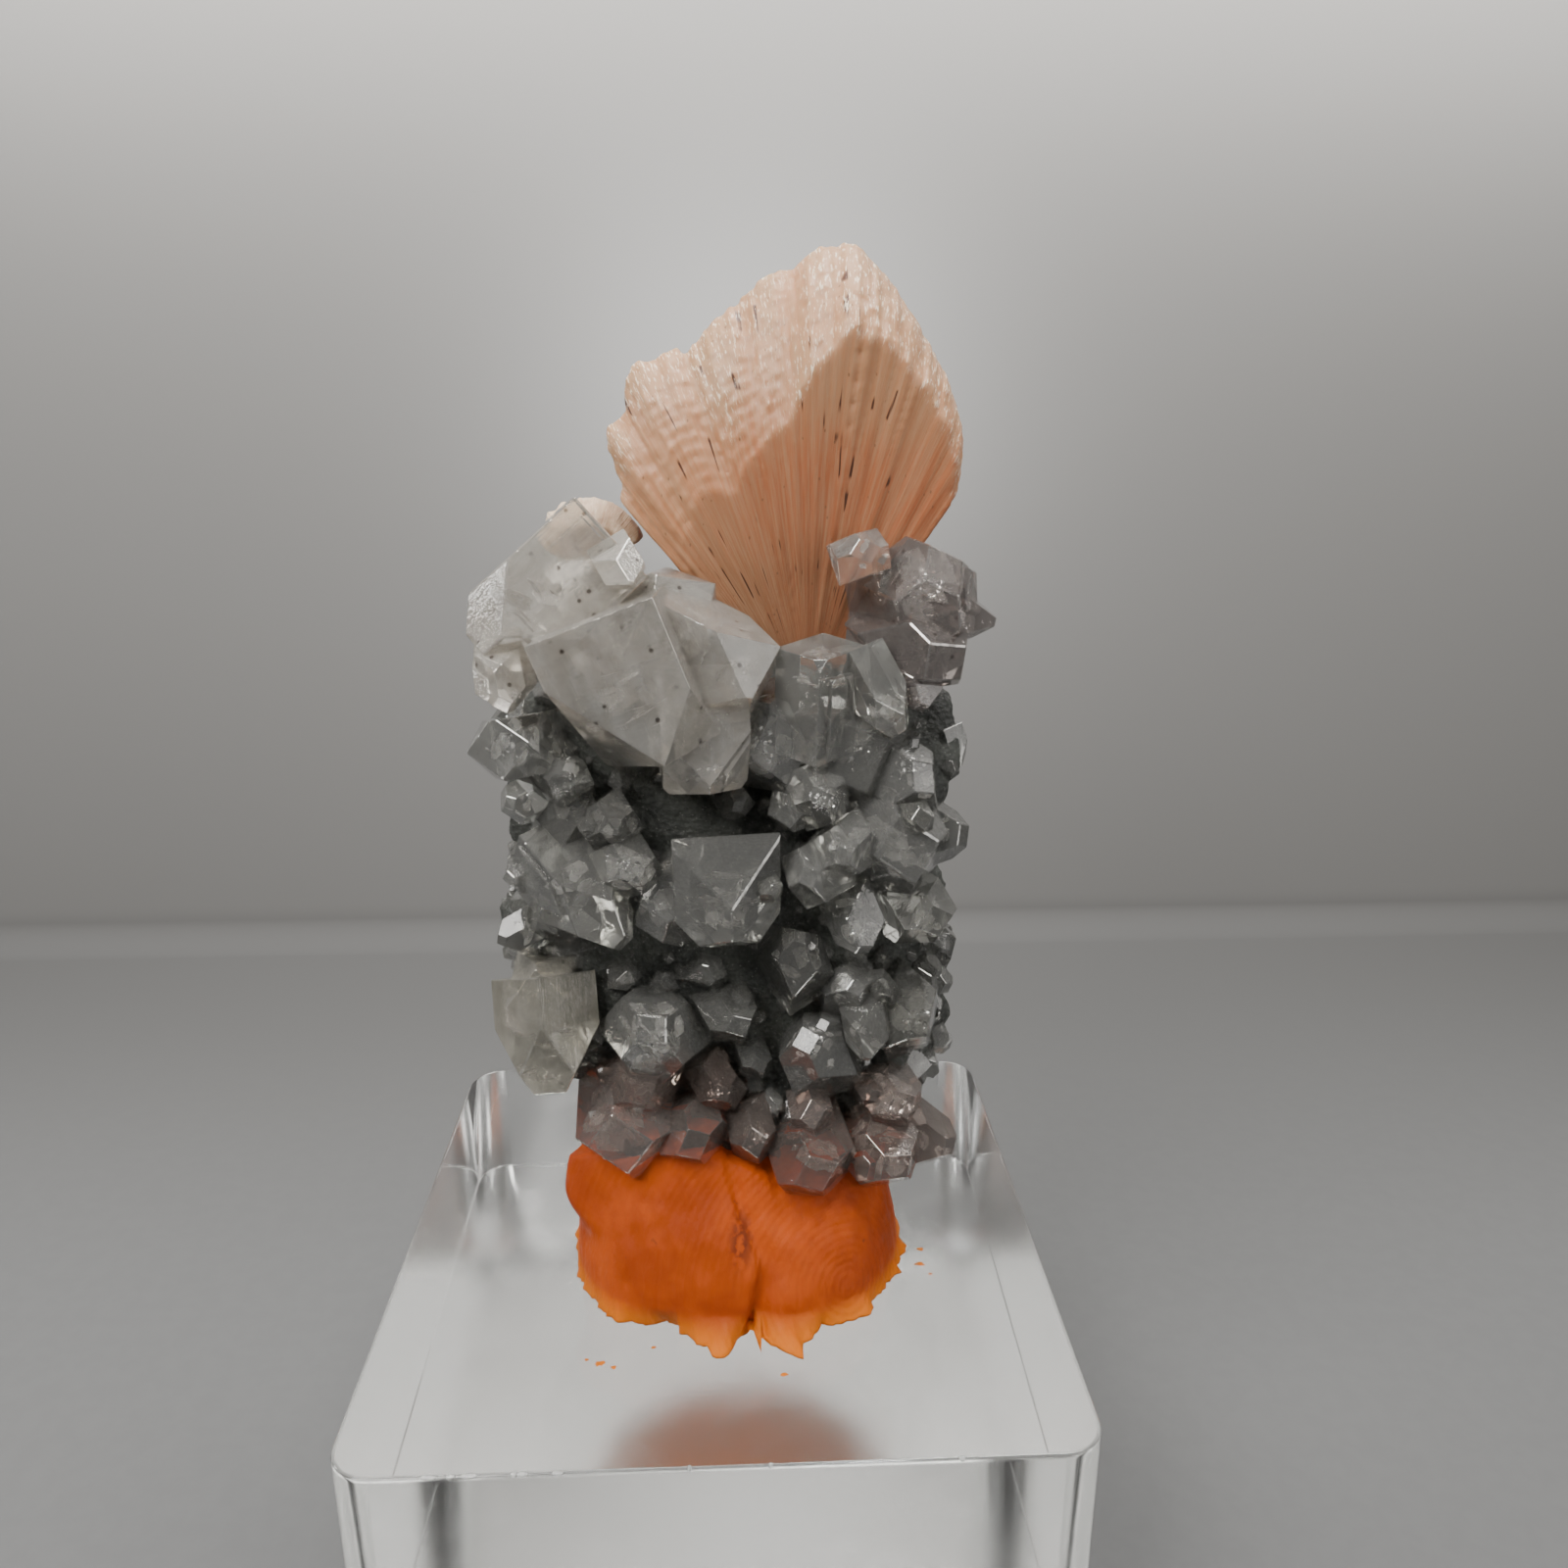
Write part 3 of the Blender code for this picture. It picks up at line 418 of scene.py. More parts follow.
class Recipe:
    """A material being mixed: it adds shader nodes and joins them."""

    def __init__(self, name: str) -> None:
        """Start a node material with its Principled shader.

        Args:
            name: the material's name.
        """
        self.material = bpy.data.materials.new(name)
        self.material.use_nodes = True
        self.tree = self.material.node_tree
        self.shader = self.tree.nodes["Principled BSDF"]
        self.output = self.tree.nodes["Material Output"]

    def add(self, kind: str, inputs: dict[str | int, Feed] | None = None,
            **settings: str | bool) -> bpy.types.Node:
        """Add one node.

        Args:
            kind: the node's type name.
            inputs: socket name or number to a value or to another node's socket.
            settings: the node's own settings.

        Returns:
            The new node.
        """
        node = self.tree.nodes.new(kind)
        for key, value in settings.items():
            setattr(node, key, value)
        for key, value in (inputs or {}).items():
            self.feed(node.inputs[key], value)
        return node

    def feed(self, socket: bpy.types.NodeSocket, value: Feed) -> None:
        """Give a socket a plain value or another socket's output.

        Args:
            socket: the input to set or to join.
            value: the value, or the output to join it to.
        """
        if isinstance(value, bpy.types.NodeSocket):
            self.tree.links.new(value, socket)
        else:
            socket.default_value = value

    def set(self, **values: Feed) -> None:
        """Set or feed the Principled shader's sockets, with underscores for spaces."""
        for key, value in values.items():
            self.feed(self.shader.inputs[key.replace("_", " ")], value)

    def millimetres(self, centre: Point = (0.0, 0.0, 0.0)) -> bpy.types.NodeSocket:
        """Object coordinates in millimetres, counted from a centre.

        Args:
            centre: the point that counts as zero.

        Returns:
            The coordinates' output.
        """
        coordinates = self.add("ShaderNodeTexCoord").outputs["Object"]
        offset = tuple(-part for part in centre)
        mapping = self.add("ShaderNodeMapping", {"Vector": coordinates, "Location": offset,
                                                 "Scale": (1.0 / MM,) * 3})
        return mapping.outputs[0]

    def stretch(self, vector: bpy.types.NodeSocket, scale: Point) -> bpy.types.NodeSocket:
        """Scale a coordinate along its three axes."""
        return self.add("ShaderNodeVectorMath", {0: vector, 1: scale},
                        operation="MULTIPLY").outputs[0]

    def grain(self, name: str) -> bpy.types.Node:
        """A mesh attribute that the piece carries."""
        return self.add("ShaderNodeAttribute", attribute_name=name)

    def math(self, operation: str, first: Feed, second: Feed = 0.0) -> bpy.types.NodeSocket:
        """One arithmetic step."""
        return self.add("ShaderNodeMath", {0: first, 1: second}, operation=operation).outputs[0]

    def noise(self, vector: bpy.types.NodeSocket, scale: float, detail: float = 3.0,
              roughness: float = 0.5, distortion: float = 0.0) -> bpy.types.NodeSocket:
        """Cloudy noise between 0 and 1.

        Args:
            vector: where it is read.
            scale: clouds in a unit of the vector.
            detail: how many finer layers it has.
            roughness: how strong the finer layers are.
            distortion: how far it is pushed about.

        Returns:
            The noise's output.
        """
        return self.add("ShaderNodeTexNoise", {
            "Vector": vector, "Scale": scale, "Detail": detail, "Roughness": roughness,
            "Distortion": distortion}).outputs["Fac"]

    def cells(self, vector: bpy.types.NodeSocket, scale: float) -> bpy.types.NodeSocket:
        """Distance to the nearest of many scattered points."""
        return self.add("ShaderNodeTexVoronoi", {"Vector": vector, "Scale": scale},
                        feature="F1").outputs["Distance"]

    def span(self, value: bpy.types.NodeSocket, low: float, high: float,
             start: float = 0.0, finish: float = 1.0) -> bpy.types.NodeSocket:
        """Map low..high onto start..finish, smoothly and held past both ends.

        Args:
            value: what is mapped.
            low: the value that gives the start.
            high: the value that gives the finish.
            start: the result at the low value.
            finish: the result at the high value.

        Returns:
            The result's output.
        """
        node = self.add("ShaderNodeMapRange", {
            "Value": value, "From Min": low, "From Max": high,
            "To Min": start, "To Max": finish}, interpolation_type="SMOOTHSTEP")
        return node.outputs[0]

    def mix(self, share: Feed, first: Feed, second: Feed) -> bpy.types.NodeSocket:
        """Blend two colours.

        Args:
            share: how much of the second there is.
            first: the first colour.
            second: the second colour.

        Returns:
            The blend's output.
        """
        node = self.add("ShaderNodeMix", data_type="RGBA")
        self.feed(node.inputs["Factor"], share)
        for name, colour in (("A", first), ("B", second)):
            socket = next(s for s in node.inputs if s.name == name and s.type == "RGBA")
            self.feed(socket, (*colour, 1.0) if isinstance(colour, tuple) else colour)
        return next(s for s in node.outputs if s.type == "RGBA")

    def relief(self, *layers: tuple[bpy.types.NodeSocket, float]) -> bpy.types.NodeSocket:
        """Stack bumps.

        Args:
            layers: each bump's height and its depth in millimetres.

        Returns:
            The normal's output.
        """
        normal = None
        for height, depth in layers:
            bump = self.add("ShaderNodeBump", {"Height": height, "Distance": depth * MM,
                                               "Strength": 1.0})
            if normal:
                self.feed(bump.inputs["Normal"], normal)
            normal = bump.outputs[0]
        return normal

    def absorb(self, colour: Colour, density: float) -> None:
        """Let the inside of a clear body swallow light.

        Args:
            colour: the colour that is left.
            density: how much is swallowed in a metre.
        """
        inside = self.add("ShaderNodeVolumeAbsorption", {
            "Color": (*colour, 1.0), "Density": density})
        self.tree.links.new(inside.outputs[0], self.output.inputs["Volume"])


@dataclass(frozen=True)
class GlassyFinish:
    """Apophyllite of one clarity and tint."""

    slot: str
    tint: Colour
    dark: Colour
    cloud: Colour
    cloudiness: float
    transmission: float
    roughness: Span
    inside: Colour
    density: float
    striation: float = 0.006
    specks: float = 0.0
    streaking: float = 0.3
    # The strength and near-white colour of the painted highlight on the worn edges
    edge_shine: float = 0.75
    rubbed_and_highlight: Colour = (0.93, 0.93, 0.91)
    fleck: Colour = (0.05, 0.025, 0.015)
    swell: float = 0.01
    pitting: float = 0.008
    ior: float = 1.535

    def make(self) -> bpy.types.Material:
        """Mix the material.

        Returns:
            A see-through material with growth lines, pits and clouds, and a painted highlight on
            its worn edges.
        """
        mixing = Recipe(self.slot)
        place = mixing.millimetres()
        local = mixing.grain("grain").outputs["Vector"]
        clouds = mixing.noise(place, scale=0.45, detail=5.0, roughness=0.65, distortion=0.8)
        clouds = mixing.span(clouds, 0.40, 0.68, finish=self.cloudiness)
        shade = mixing.grain("shade").outputs["Fac"]
        colour = mixing.mix(clouds, mixing.mix(shade, self.dark, self.tint), self.cloud)
        streaks = mixing.stretch(local, (2.2, 2.2, 0.22))
        streaks = mixing.noise(streaks, scale=1.0, detail=5.0, roughness=0.7, distortion=0.4)
        streaks = mixing.span(streaks, 0.48, 0.66, finish=self.streaking)
        colour = mixing.mix(streaks, colour, self.cloud)
        # Painted highlight: the worn bevel faces turn near-white in noisy patches and go metallic
        # by the same mask, standing in for light caught along the crystal edges
        patches = mixing.span(mixing.noise(place, scale=1.4), 0.38, 0.60,
                              start=0.1, finish=self.edge_shine)
        wear_and_highlight = mixing.math("MULTIPLY", mixing.grain("wear_and_highlight").outputs["Fac"], patches)
        colour = mixing.mix(wear_and_highlight, colour, self.rubbed_and_highlight)
        flecks = mixing.span(mixing.cells(place, scale=0.75), 0.08, 0.15,
                             start=self.specks, finish=0.0)
        colour = mixing.mix(flecks, colour, self.fleck)
        lines = mixing.stretch(local, (6.0, 6.0, 0.15))
        lines = mixing.noise(lines, scale=1.0, roughness=0.6)
        swells = mixing.noise(local, scale=0.7, detail=2.0)
        pits = mixing.span(mixing.cells(local, scale=1.6), 0.10, 0.22)
        least, most = self.roughness
        gloss = mixing.noise(place, scale=0.9, detail=4.0, roughness=0.7)
        gloss = mixing.span(gloss, 0.45, 0.72, start=least, finish=most)
        mixing.set(Base_Color=colour, Roughness=gloss, IOR=self.ior, Metallic=wear_and_highlight,
                   Transmission_Weight=self.transmission,
                   Normal=mixing.relief((lines, self.striation), (swells, self.swell),
                                        (pits, self.pitting)))
        mixing.absorb(self.inside, self.density)
        return mixing.material


class Clarity(Enum):
    """The sorts of apophyllite on the specimen."""

    MILKY = GlassyFinish(
        "apophyllite_milky", tint=(0.86, 0.83, 0.77), dark=(0.66, 0.62, 0.56),
        cloud=(0.98, 0.96, 0.91), cloudiness=0.68, transmission=0.82, roughness=(0.03, 0.20),
        inside=(0.84, 0.81, 0.76), density=26.0, striation=0.02, specks=0.85,
        streaking=0.55, edge_shine=0.2)
    CLEAR = GlassyFinish(
        "apophyllite_clear", tint=(0.92, 0.92, 0.89), dark=(0.44, 0.44, 0.41),
        cloud=(0.90, 0.89, 0.86), cloudiness=0.2, transmission=0.91, roughness=(0.0, 0.05),
        inside=(0.74, 0.75, 0.71), density=26.0, striation=0.004, specks=0.25,
        streaking=0.14, edge_shine=0.2)
    SMOKY = GlassyFinish(
        "apophyllite_smoky", tint=(0.93, 0.89, 0.86), dark=(0.50, 0.45, 0.43),
        cloud=(0.78, 0.72, 0.69), cloudiness=0.5, transmission=0.90, roughness=(0.0, 0.09),
        inside=(0.58, 0.53, 0.51), density=80.0, striation=0.006, specks=0.7,
        streaking=0.35, edge_shine=0.3)
    PALE = GlassyFinish(
        "apophyllite_pale", tint=(0.68, 0.65, 0.57), dark=(0.46, 0.45, 0.38),
        cloud=(0.82, 0.78, 0.70), cloudiness=0.7, transmission=0.83, roughness=(0.03, 0.22),
        inside=(0.76, 0.74, 0.66), density=45.0, striation=0.016, specks=0.3,
        streaking=0.6, edge_shine=0.4)
    BROWNISH = GlassyFinish(
        "apophyllite_brownish", tint=(0.84, 0.74, 0.69), dark=(0.46, 0.37, 0.33),
        cloud=(0.62, 0.52, 0.47), cloudiness=0.6, transmission=0.91, roughness=(0.03, 0.16),
        inside=(0.60, 0.49, 0.44), density=70.0, striation=0.006, specks=0.3,
        streaking=0.25, edge_shine=0.25)


@dataclass
class CrystalGrower:
    """Grows irregular crystals, with their parallel companions and inner veils."""

    seed: int
    tilt: float = 2.4
    size_spread: float = 0.12
    edge_wear: float = 0.015
    least_wear: float = 0.01
    worn_length: float = 6.0
    weld: float = 0.002
    flat_angle: float = 0.4
    peaks: Span = (0.80, 1.18)
    grain_room: float = 50.0
    companion_least: float = 3.0
    companion_share: Span = (0.35, 0.75)
    companion_proud: Span = (0.02, 0.06)
    companion_drop: Span = (0.06, 0.40)
    companion_aspect: Span = (0.8, 1.0)
    companion_root: float = 0.97
    companion_reach: float = 0.95
    veil_corners: int = 9
    least_veil: float = 0.25
    veil_raggedness: Span = (0.45, 1.0)
    veil_warp: float = 0.08
    veil_depth: float = 0.02
    veil_drop: Span = (0.04, 0.5)
    veil_share: float = 0.5
    veil_margin: float = 0.8
    veil_stray: float = 0.6
    cleavage_share: float = 0.6
    cleavage_swing: float = 12.0
    chance: random.Random = field(init=False)

    def __post_init__(self) -> None:
        """Start the grower's own chance."""
        self.chance = random.Random(self.seed)

    def body(self, half_x: float, half_y: float, bottom: float, blunt: float
             ) -> bmesh.types.BMesh:
        """Cut one crystal out of a bar, in its own axes with its flat end at zero.

        Args:
            half_x: half its breadth along X.
            half_y: half its breadth along Y.
            bottom: where its root is, below zero.
            blunt: how far past the flat end the point faces would meet.

        Returns:
            The closed body.
        """
        pick = self.chance.uniform
        bm = bmesh.new()
        bmesh.ops.create_cube(bm, size=2.0)
        bmesh.ops.scale(bm, vec=(half_x, half_y, -bottom / 2.0), verts=bm.verts)
        bmesh.ops.translate(bm, vec=(0.0, 0.0, bottom / 2.0), verts=bm.verts)
        for side_x in (1, -1):
            for side_y in (1, -1):
                lean = POINT_FACE_ANGLE + math.radians(pick(-self.tilt, self.tilt))
                turn = math.atan2(side_y * half_x, side_x * half_y)
                turn += math.radians(pick(-self.tilt, self.tilt))
                outward = Vector((math.cos(turn), math.sin(turn), 0.0)) * math.sin(lean)
                outward.z = math.cos(lean)
                peak = blunt * pick(*self.peaks)
                slice_off(bm, Vector((0.0, 0.0, peak)), outward)
        return bm

    def finish(self, bm: bmesh.types.BMesh, size: float, place: Matrix,
               target: bmesh.types.BMesh) -> None:
        """Wear a body's edges, note its grain and set it in its place.

        Args:
            bm: the body, in its own axes.
            size: its breadth, which the wear follows.
            place: where it stands.
            target: the mesh that it joins.
        """
        wear_and_highlight = max(self.least_wear, size * self.edge_wear)
        bmesh.ops.remove_doubles(bm, verts=bm.verts, dist=self.weld)
        bmesh.ops.dissolve_limit(bm, angle_limit=math.radians(self.flat_angle),
                                 verts=bm.verts, edges=bm.edges)
        # The worn bevel faces are marked here for the painted edge highlight
        worn_highlight_layer = bm.faces.layers.float.new("wear_and_highlight")
        worn = [edge for edge in bm.edges if edge.is_manifold and edge.is_convex
                and edge.calc_length() > self.worn_length * wear_and_highlight]
        for face in round_off(bm, worn, wear_and_highlight, 1, clamp=True):
            face[worn_highlight_layer] = 1.0
        grain = bm.verts.layers.float_vector.new("grain")
        shade = bm.verts.layers.float.new("shade")
        shift = Vector([self.chance.uniform(0.0, self.grain_room) for _ in range(3)])
        lightness = self.chance.random()
        for vertex in bm.verts:
            vertex[grain] = vertex.co + shift
            vertex[shade] = lightness
        bmesh.ops.transform(bm, matrix=place, verts=bm.verts)
        join_into(target, bm)

    def grow(self, crystal: Crystal, target: bmesh.types.BMesh, companions: int = 2) -> None:
        """Grow one crystal and the parallel ones that share its faces.

        Args:
            crystal: its place and size.
            target: the mesh that it joins.
            companions: how many smaller parallel crystals step its sides.
        """
        pick = self.chance.uniform
        place = Matrix.Translation(crystal.end) @ stand_along(crystal.aim, crystal.roll)
        half = crystal.across / 2.0
        spread = 1.0 + pick(-self.size_spread, self.size_spread)
        bodies = [self.body(half * spread, half / spread, -crystal.length, crystal.blunt)]
        for _ in range(companions if crystal.across > self.companion_least else 0):
            share = pick(*self.companion_share)
            proud = half * pick(*self.companion_proud)
            along = half * (1.0 - share) * pick(-self.companion_reach, self.companion_reach)
            drop = crystal.length * pick(*self.companion_drop)
            side = self.chance.randrange(4)
            out = half * (1.0 - share) + proud
            offset = [(out, along), (-out, along), (along, out), (along, -out)][side]
            bottom = drop - crystal.length * self.companion_root
            step = self.body(half * share, half * share * pick(*self.companion_aspect),
                             bottom, crystal.blunt * share)
            bmesh.ops.translate(step, vec=(*offset, -drop), verts=step.verts)
            bodies.append(step)
        self.finish(grow_together(bodies), crystal.across, place, target)

    def veil(self, crystal: Crystal, target: bmesh.types.BMesh) -> None:
        """Add one thin inner crack to a crystal, most often along its cleavage.

        Args:
            crystal: the crystal that holds it.
            target: the mesh that collects the cracks.
        """
        pick = self.chance.uniform
        half = crystal.across / 2.0
        bm = bmesh.new()
        radius = pick(self.least_veil, self.least_veil + half * self.veil_share)
        ring = bmesh.ops.create_circle(bm, cap_ends=True, radius=radius,
                                       segments=self.veil_corners)
        for vertex in ring["verts"]:
            vertex.co *= pick(*self.veil_raggedness)
            vertex.co.z = pick(-self.veil_warp, self.veil_warp)
        raised = bmesh.ops.extrude_face_region(bm, geom=bm.faces[:])["geom"]
        lifted = only(bmesh.types.BMVert, raised)
        bmesh.ops.translate(bm, vec=(0.0, 0.0, self.veil_depth), verts=lifted)
        along_cleavage = self.chance.random() < self.cleavage_share
        swing = self.cleavage_swing if along_cleavage else 90.0
        turn = (Matrix.Rotation(math.radians(pick(-swing, swing)), 4, "X")
                @ Matrix.Rotation(math.radians(pick(-swing, swing)), 4, "Y"))
        room = (half - radius * self.veil_margin) * self.veil_stray
        spot = (pick(-1.0, 1.0) * room, pick(-1.0, 1.0) * room,
                -radius - crystal.length * pick(*self.veil_drop))
        place = Matrix.Translation(crystal.end) @ stand_along(crystal.aim, crystal.roll)
        bmesh.ops.transform(bm, matrix=place @ Matrix.Translation(spot) @ turn, verts=bm.verts)
        bmesh.ops.recalc_face_normals(bm, faces=bm.faces)
        join_into(target, bm)


@dataclass
class ApophylliteGroup:
    """Crystals that grew together, as one piece."""

    name: str
    node: str
    crystals: tuple[Crystal, ...]
    clarity: Clarity
    seed: int
    companions: int = 1

    def build(self) -> bpy.types.Object:
        """Grow every crystal of the group.

        Returns:
            The piece, in which each crystal is a closed shell.
        """
        bm = new_growth()
        grower = CrystalGrower(self.seed)
        for crystal in self.crystals:
            grower.grow(crystal, bm, self.companions)
        return to_piece(self.name, bm)

    def dress(self, piece: bpy.types.Object, material: bpy.types.Material) -> None:
        """Give the piece its material and its place in the frame."""
        hand_over(piece, material, self.clarity.value.slot, self.node)


@dataclass
class InnerVeils:
    """Thin bright cracks inside the crystals, and sprays of tiny glinting flakes."""

    groups: tuple[ApophylliteGroup, ...]
    seed: int = 23
    per_area: float = 0.14
    unbroken_share: float = 0.35
    glint_share: float = 0.35
    big_crystal: float = 5.0
    glinting_crystal: float = 2.4
    flakes_per_mm: float = 6.0
    flake_size: Span = (0.05, 0.20)
    flake_depth: float = 0.02
    flake_corners: tuple[int, ...] = (3, 4, 5)
    spray_reach: float = 0.30
    spray_depth: Span = (0.22, 0.35)
    spray_stray: float = 0.4
    spray_spread: float = 0.5
    spray_share: float = 0.6
    spray_flatness: float = 0.4

    def build_cracks(self) -> bpy.types.Object:
        """Scatter the cracks through most of the crystals.

        Returns:
            The cracks as one piece.
        """
        bm = bmesh.new()
        grower = CrystalGrower(self.seed)
        for group in self.groups:
            for crystal in group.crystals:
                unbroken = grower.chance.random() < self.unbroken_share
                if unbroken and crystal.across < self.big_crystal:
                    continue
                for _ in range(1 + int(self.per_area * crystal.across * crystal.across)):
                    grower.veil(crystal, bm)
        return to_piece("inner_veils", bm)

    def build_glints(self) -> bpy.types.Object:
        """Spray tiny flakes where a broken inside throws the light back.

        Returns:
            The flakes as one piece.
        """
        bm = bmesh.new()
        chance = random.Random(self.seed + 1)
        for group in self.groups:
            for crystal in group.crystals:
                if (crystal.across > self.glinting_crystal
                        and chance.random() < self.glint_share):
                    self.spray(crystal, chance, bm)
        return to_piece("inner_glints", bm)

    def spray(self, crystal: Crystal, chance: random.Random, target: bmesh.types.BMesh
              ) -> None:
        """Put one spray of flakes under a crystal's end.

        Args:
            crystal: the crystal that holds it.
            chance: the draw that all sprays share.
            target: the mesh that collects the flakes.
        """
        low, high = self.flake_size
        stand = Matrix.Translation(crystal.end) @ stand_along(crystal.aim, crystal.roll)
        reach = crystal.across * self.spray_reach
        share, least = self.spray_depth
        stray = self.spray_stray
        middle = Vector((chance.uniform(-stray, stray) * reach,
                         chance.uniform(-stray, stray) * reach,
                         -crystal.across * share - least))
        for _ in range(int(self.flakes_per_mm * crystal.across)):
            away = Vector([max(-1.0, min(1.0, chance.gauss(0.0, self.spray_spread)))
                           for _ in range(3)])
            away *= reach * self.spray_share
            away.z *= self.spray_flatness
            turn = Matrix.Rotation(chance.uniform(0.0, math.tau), 4,
                                   Vector([chance.gauss(0.0, 1.0) for _ in range(3)]))
            flake = bmesh.ops.create_cone(
                target, cap_ends=True, segments=chance.choice(self.flake_corners),
                radius1=chance.uniform(low, high), radius2=low / 2.0,
                depth=self.flake_depth)
            place = stand @ Matrix.Translation(middle + away) @ turn
            bmesh.ops.transform(target, matrix=place, verts=flake["verts"])

    def dress(self, cracks: bpy.types.Object, glints: bpy.types.Object) -> None:
        """Give the cracks and flakes their silvery finishes.

        Args:
            cracks: the cracks' piece.
            glints: the flakes' piece.
        """
        mixing = Recipe("crack_silver")
        place = mixing.millimetres()
        shade = mixing.span(mixing.noise(place, scale=1.2), 0.35, 0.65, start=0.1, finish=0.35)
        tone = mixing.noise(place, scale=0.8, detail=2.0)
        mixing.set(Base_Color=mixing.mix(tone, (0.62, 0.60, 0.57), (0.94, 0.93, 0.91)),
                   Roughness=shade, Transmission_Weight=0.75, IOR=1.25)
        hand_over(cracks, mixing.material, "apophyllite_clear")
        bright = Recipe("flake_silver")
        spot = bright.millimetres()
        tone = bright.noise(spot, scale=2.0, detail=2.0)
        gloss = bright.span(bright.noise(spot, scale=3.0), 0.3, 0.7, start=0.08, finish=0.3)
        bright.set(Base_Color=bright.mix(tone, (0.80, 0.82, 0.84), (0.97, 0.95, 0.92)),
                   Metallic=0.9, Roughness=gloss)
        hand_over(glints, bright.material, "apophyllite_clear")


@dataclass
class BasaltMatrix:
    """The broken lump of basalt and the small crystals all over it."""

    seed: int = 7
    squareness: float = 3.4
    voxel: float = 0.5
    chunks: tuple = (
        ((1.4, 1.6, 51.0), (15.6, 7.4, 20.6), 34),
        ((-10.6, 0.6, 50.5), (6.8, 6.6, 8.6), 20),
        ((-9.0, 0.8, 63.5), (8.0, 6.6, 9.6), 22),
        ((11.0, 0.4, 62.5), (7.4, 6.8, 9.6), 22),
        ((12.6, 0.4, 47.0), (6.6, 7.0, 11.0), 22),
        ((3.2, -0.4, 36.6), (13.4, 7.2, 6.6), 24),
        ((3.6, 0.8, 70.0), (12.0, 5.6, 5.0), 20),
        ((3.0, 7.0, 51.0), (9.6, 3.6, 9.6), 18),
        ((-4.0, 6.4, 63.0), (8.4, 4.0, 6.4), 16),
    )
    relief: Curve = ((3.4, 0.75), (1.5, 0.34), (0.7, 0.14))
    druse_seed: int = 17
    place_seed: int = 27
    druse_count: int = 860
    druse_size: Span = (0.5, 2.3)
    druse_share: Curve = ((-0.6, 1.0), (0.0, 0.55), (0.5, 0.32))
    druse_foot: Span = (33.0, 38.0)
    druse_swing: float = 0.6
    druse_proud: Span = (0.3, 0.8)
    druse_blunt: Span = (0.15, 0.5)
    druse_length: float = 2.0
    druse_tilt: float = 4.0
    smallness: float = 2.0
    hollow_share: float = 0.12
    skin_push: float = -0.1
    dark_stone: Colour = (0.019, 0.021, 0.019)
    mid_stone: Colour = (0.050, 0.054, 0.047)
    pale_stone: Colour = (0.085, 0.088, 0.078)
    grain_colour: Colour = (0.18, 0.18, 0.165)
    hollows: tuple[tuple[Point, float], ...] = (
        ((-2.2, -7.0, 62.6), 4.0), ((-6.5, -7.0, 52.6), 2.6), ((-0.5, -7.0, 52.4), 2.6),
        ((1.6, -7.0, 43.6), 2.4), ((18.5, -2.0, 62.0), 9.5), ((-17.5, 2.0, 62.0), 5.0),
    )

    def chunk(self, chance: random.Random, centre: Point, half: Point, corners: int
              ) -> bmesh.types.BMesh:
        """Make one angular chunk, the hull of corners on a squared ellipsoid.

        Args:
            chance: the draw that all chunks share.
            centre: its centre.
            half: its half sizes.
            corners: how many corners it has.

        Returns:
            The closed chunk.
        """
        bm = bmesh.new()
        for _ in range(corners):
            way = Vector([chance.gauss(0.0, 1.0) for _ in range(3)])
            reach = sum(abs(part) ** self.squareness for part in way)
            reach = reach ** (1.0 / self.squareness)
            size = [way[i] / reach * half[i] for i in range(3)]
            bmesh.ops.create_vert(bm, co=Vector(centre) + Vector(size))
        hull = bmesh.ops.convex_hull(bm, input=bm.verts)
        inner = only(bmesh.types.BMVert, hull["geom_interior"])
        bmesh.ops.delete(bm, geom=inner, context="VERTS")
        bmesh.ops.recalc_face_normals(bm, faces=bm.faces)
        return bm

    def build_rock(self) -> bpy.types.Object:
        """Melt the chunks into one lump and roughen its skin.

        Returns:
            The rock as a piece.
        """
        whole = bmesh.new()
        chance = random.Random(self.seed)
        for centre, half, corners in self.chunks:
            join_into(whole, self.chunk(chance, centre, half, corners))
        bm = melt(whole, self.voxel)
        for vertex in bm.verts:
            push = self.skin_push
            for wavelength, height in self.relief:
                push += noise.noise(vertex.co / wavelength) * height
            vertex.co += vertex.normal * push
        piece = to_piece("basalt_rock", bm)
        piece.data.shade_smooth()
        return piece

    def build_druse(self, rock: bpy.types.Object) -> bpy.types.Object:
        """Stand small crystals on the rock, thickly at the front and sides.

        Args:
            rock: the finished rock.

        Returns:
            The small crystals as one piece.
        """
        bm = new_growth()
        grower = CrystalGrower(self.druse_seed, tilt=self.druse_tilt)
        for crystal in MATRIX_SINGLES:
            grower.grow(crystal, bm, 2)
        chance = random.Random(self.place_seed)
        faces = rock.data.polygons
        grown = 0
        while grown < self.druse_count:
            face = faces[chance.randrange(len(faces))]
            spot = face.center / MM
            wanted = value_at(self.druse_share, face.normal.y)
            wanted *= ease(*self.druse_foot, spot.z)
            if any((spot - Vector(centre)).length < radius for centre, radius in self.hollows):
                wanted *= self.hollow_share
            if chance.random() > wanted:
                continue
            low, high = self.druse_size
            across = low + (high - low) * chance.random() ** self.smallness
            aim = face.normal + Vector([chance.uniform(-self.druse_swing, self.druse_swing)
                                        for _ in range(3)])
            end = spot + aim.normalized() * across * chance.uniform(*self.druse_proud)
            small = Crystal(tuple(end), tuple(aim), across, across * self.druse_length,
                            chance.uniform(0.0, 90.0),
                            across * chance.uniform(*self.druse_blunt))
            grower.grow(small, bm, 0)
            grown += 1
        return to_piece("druse_crystals", bm)

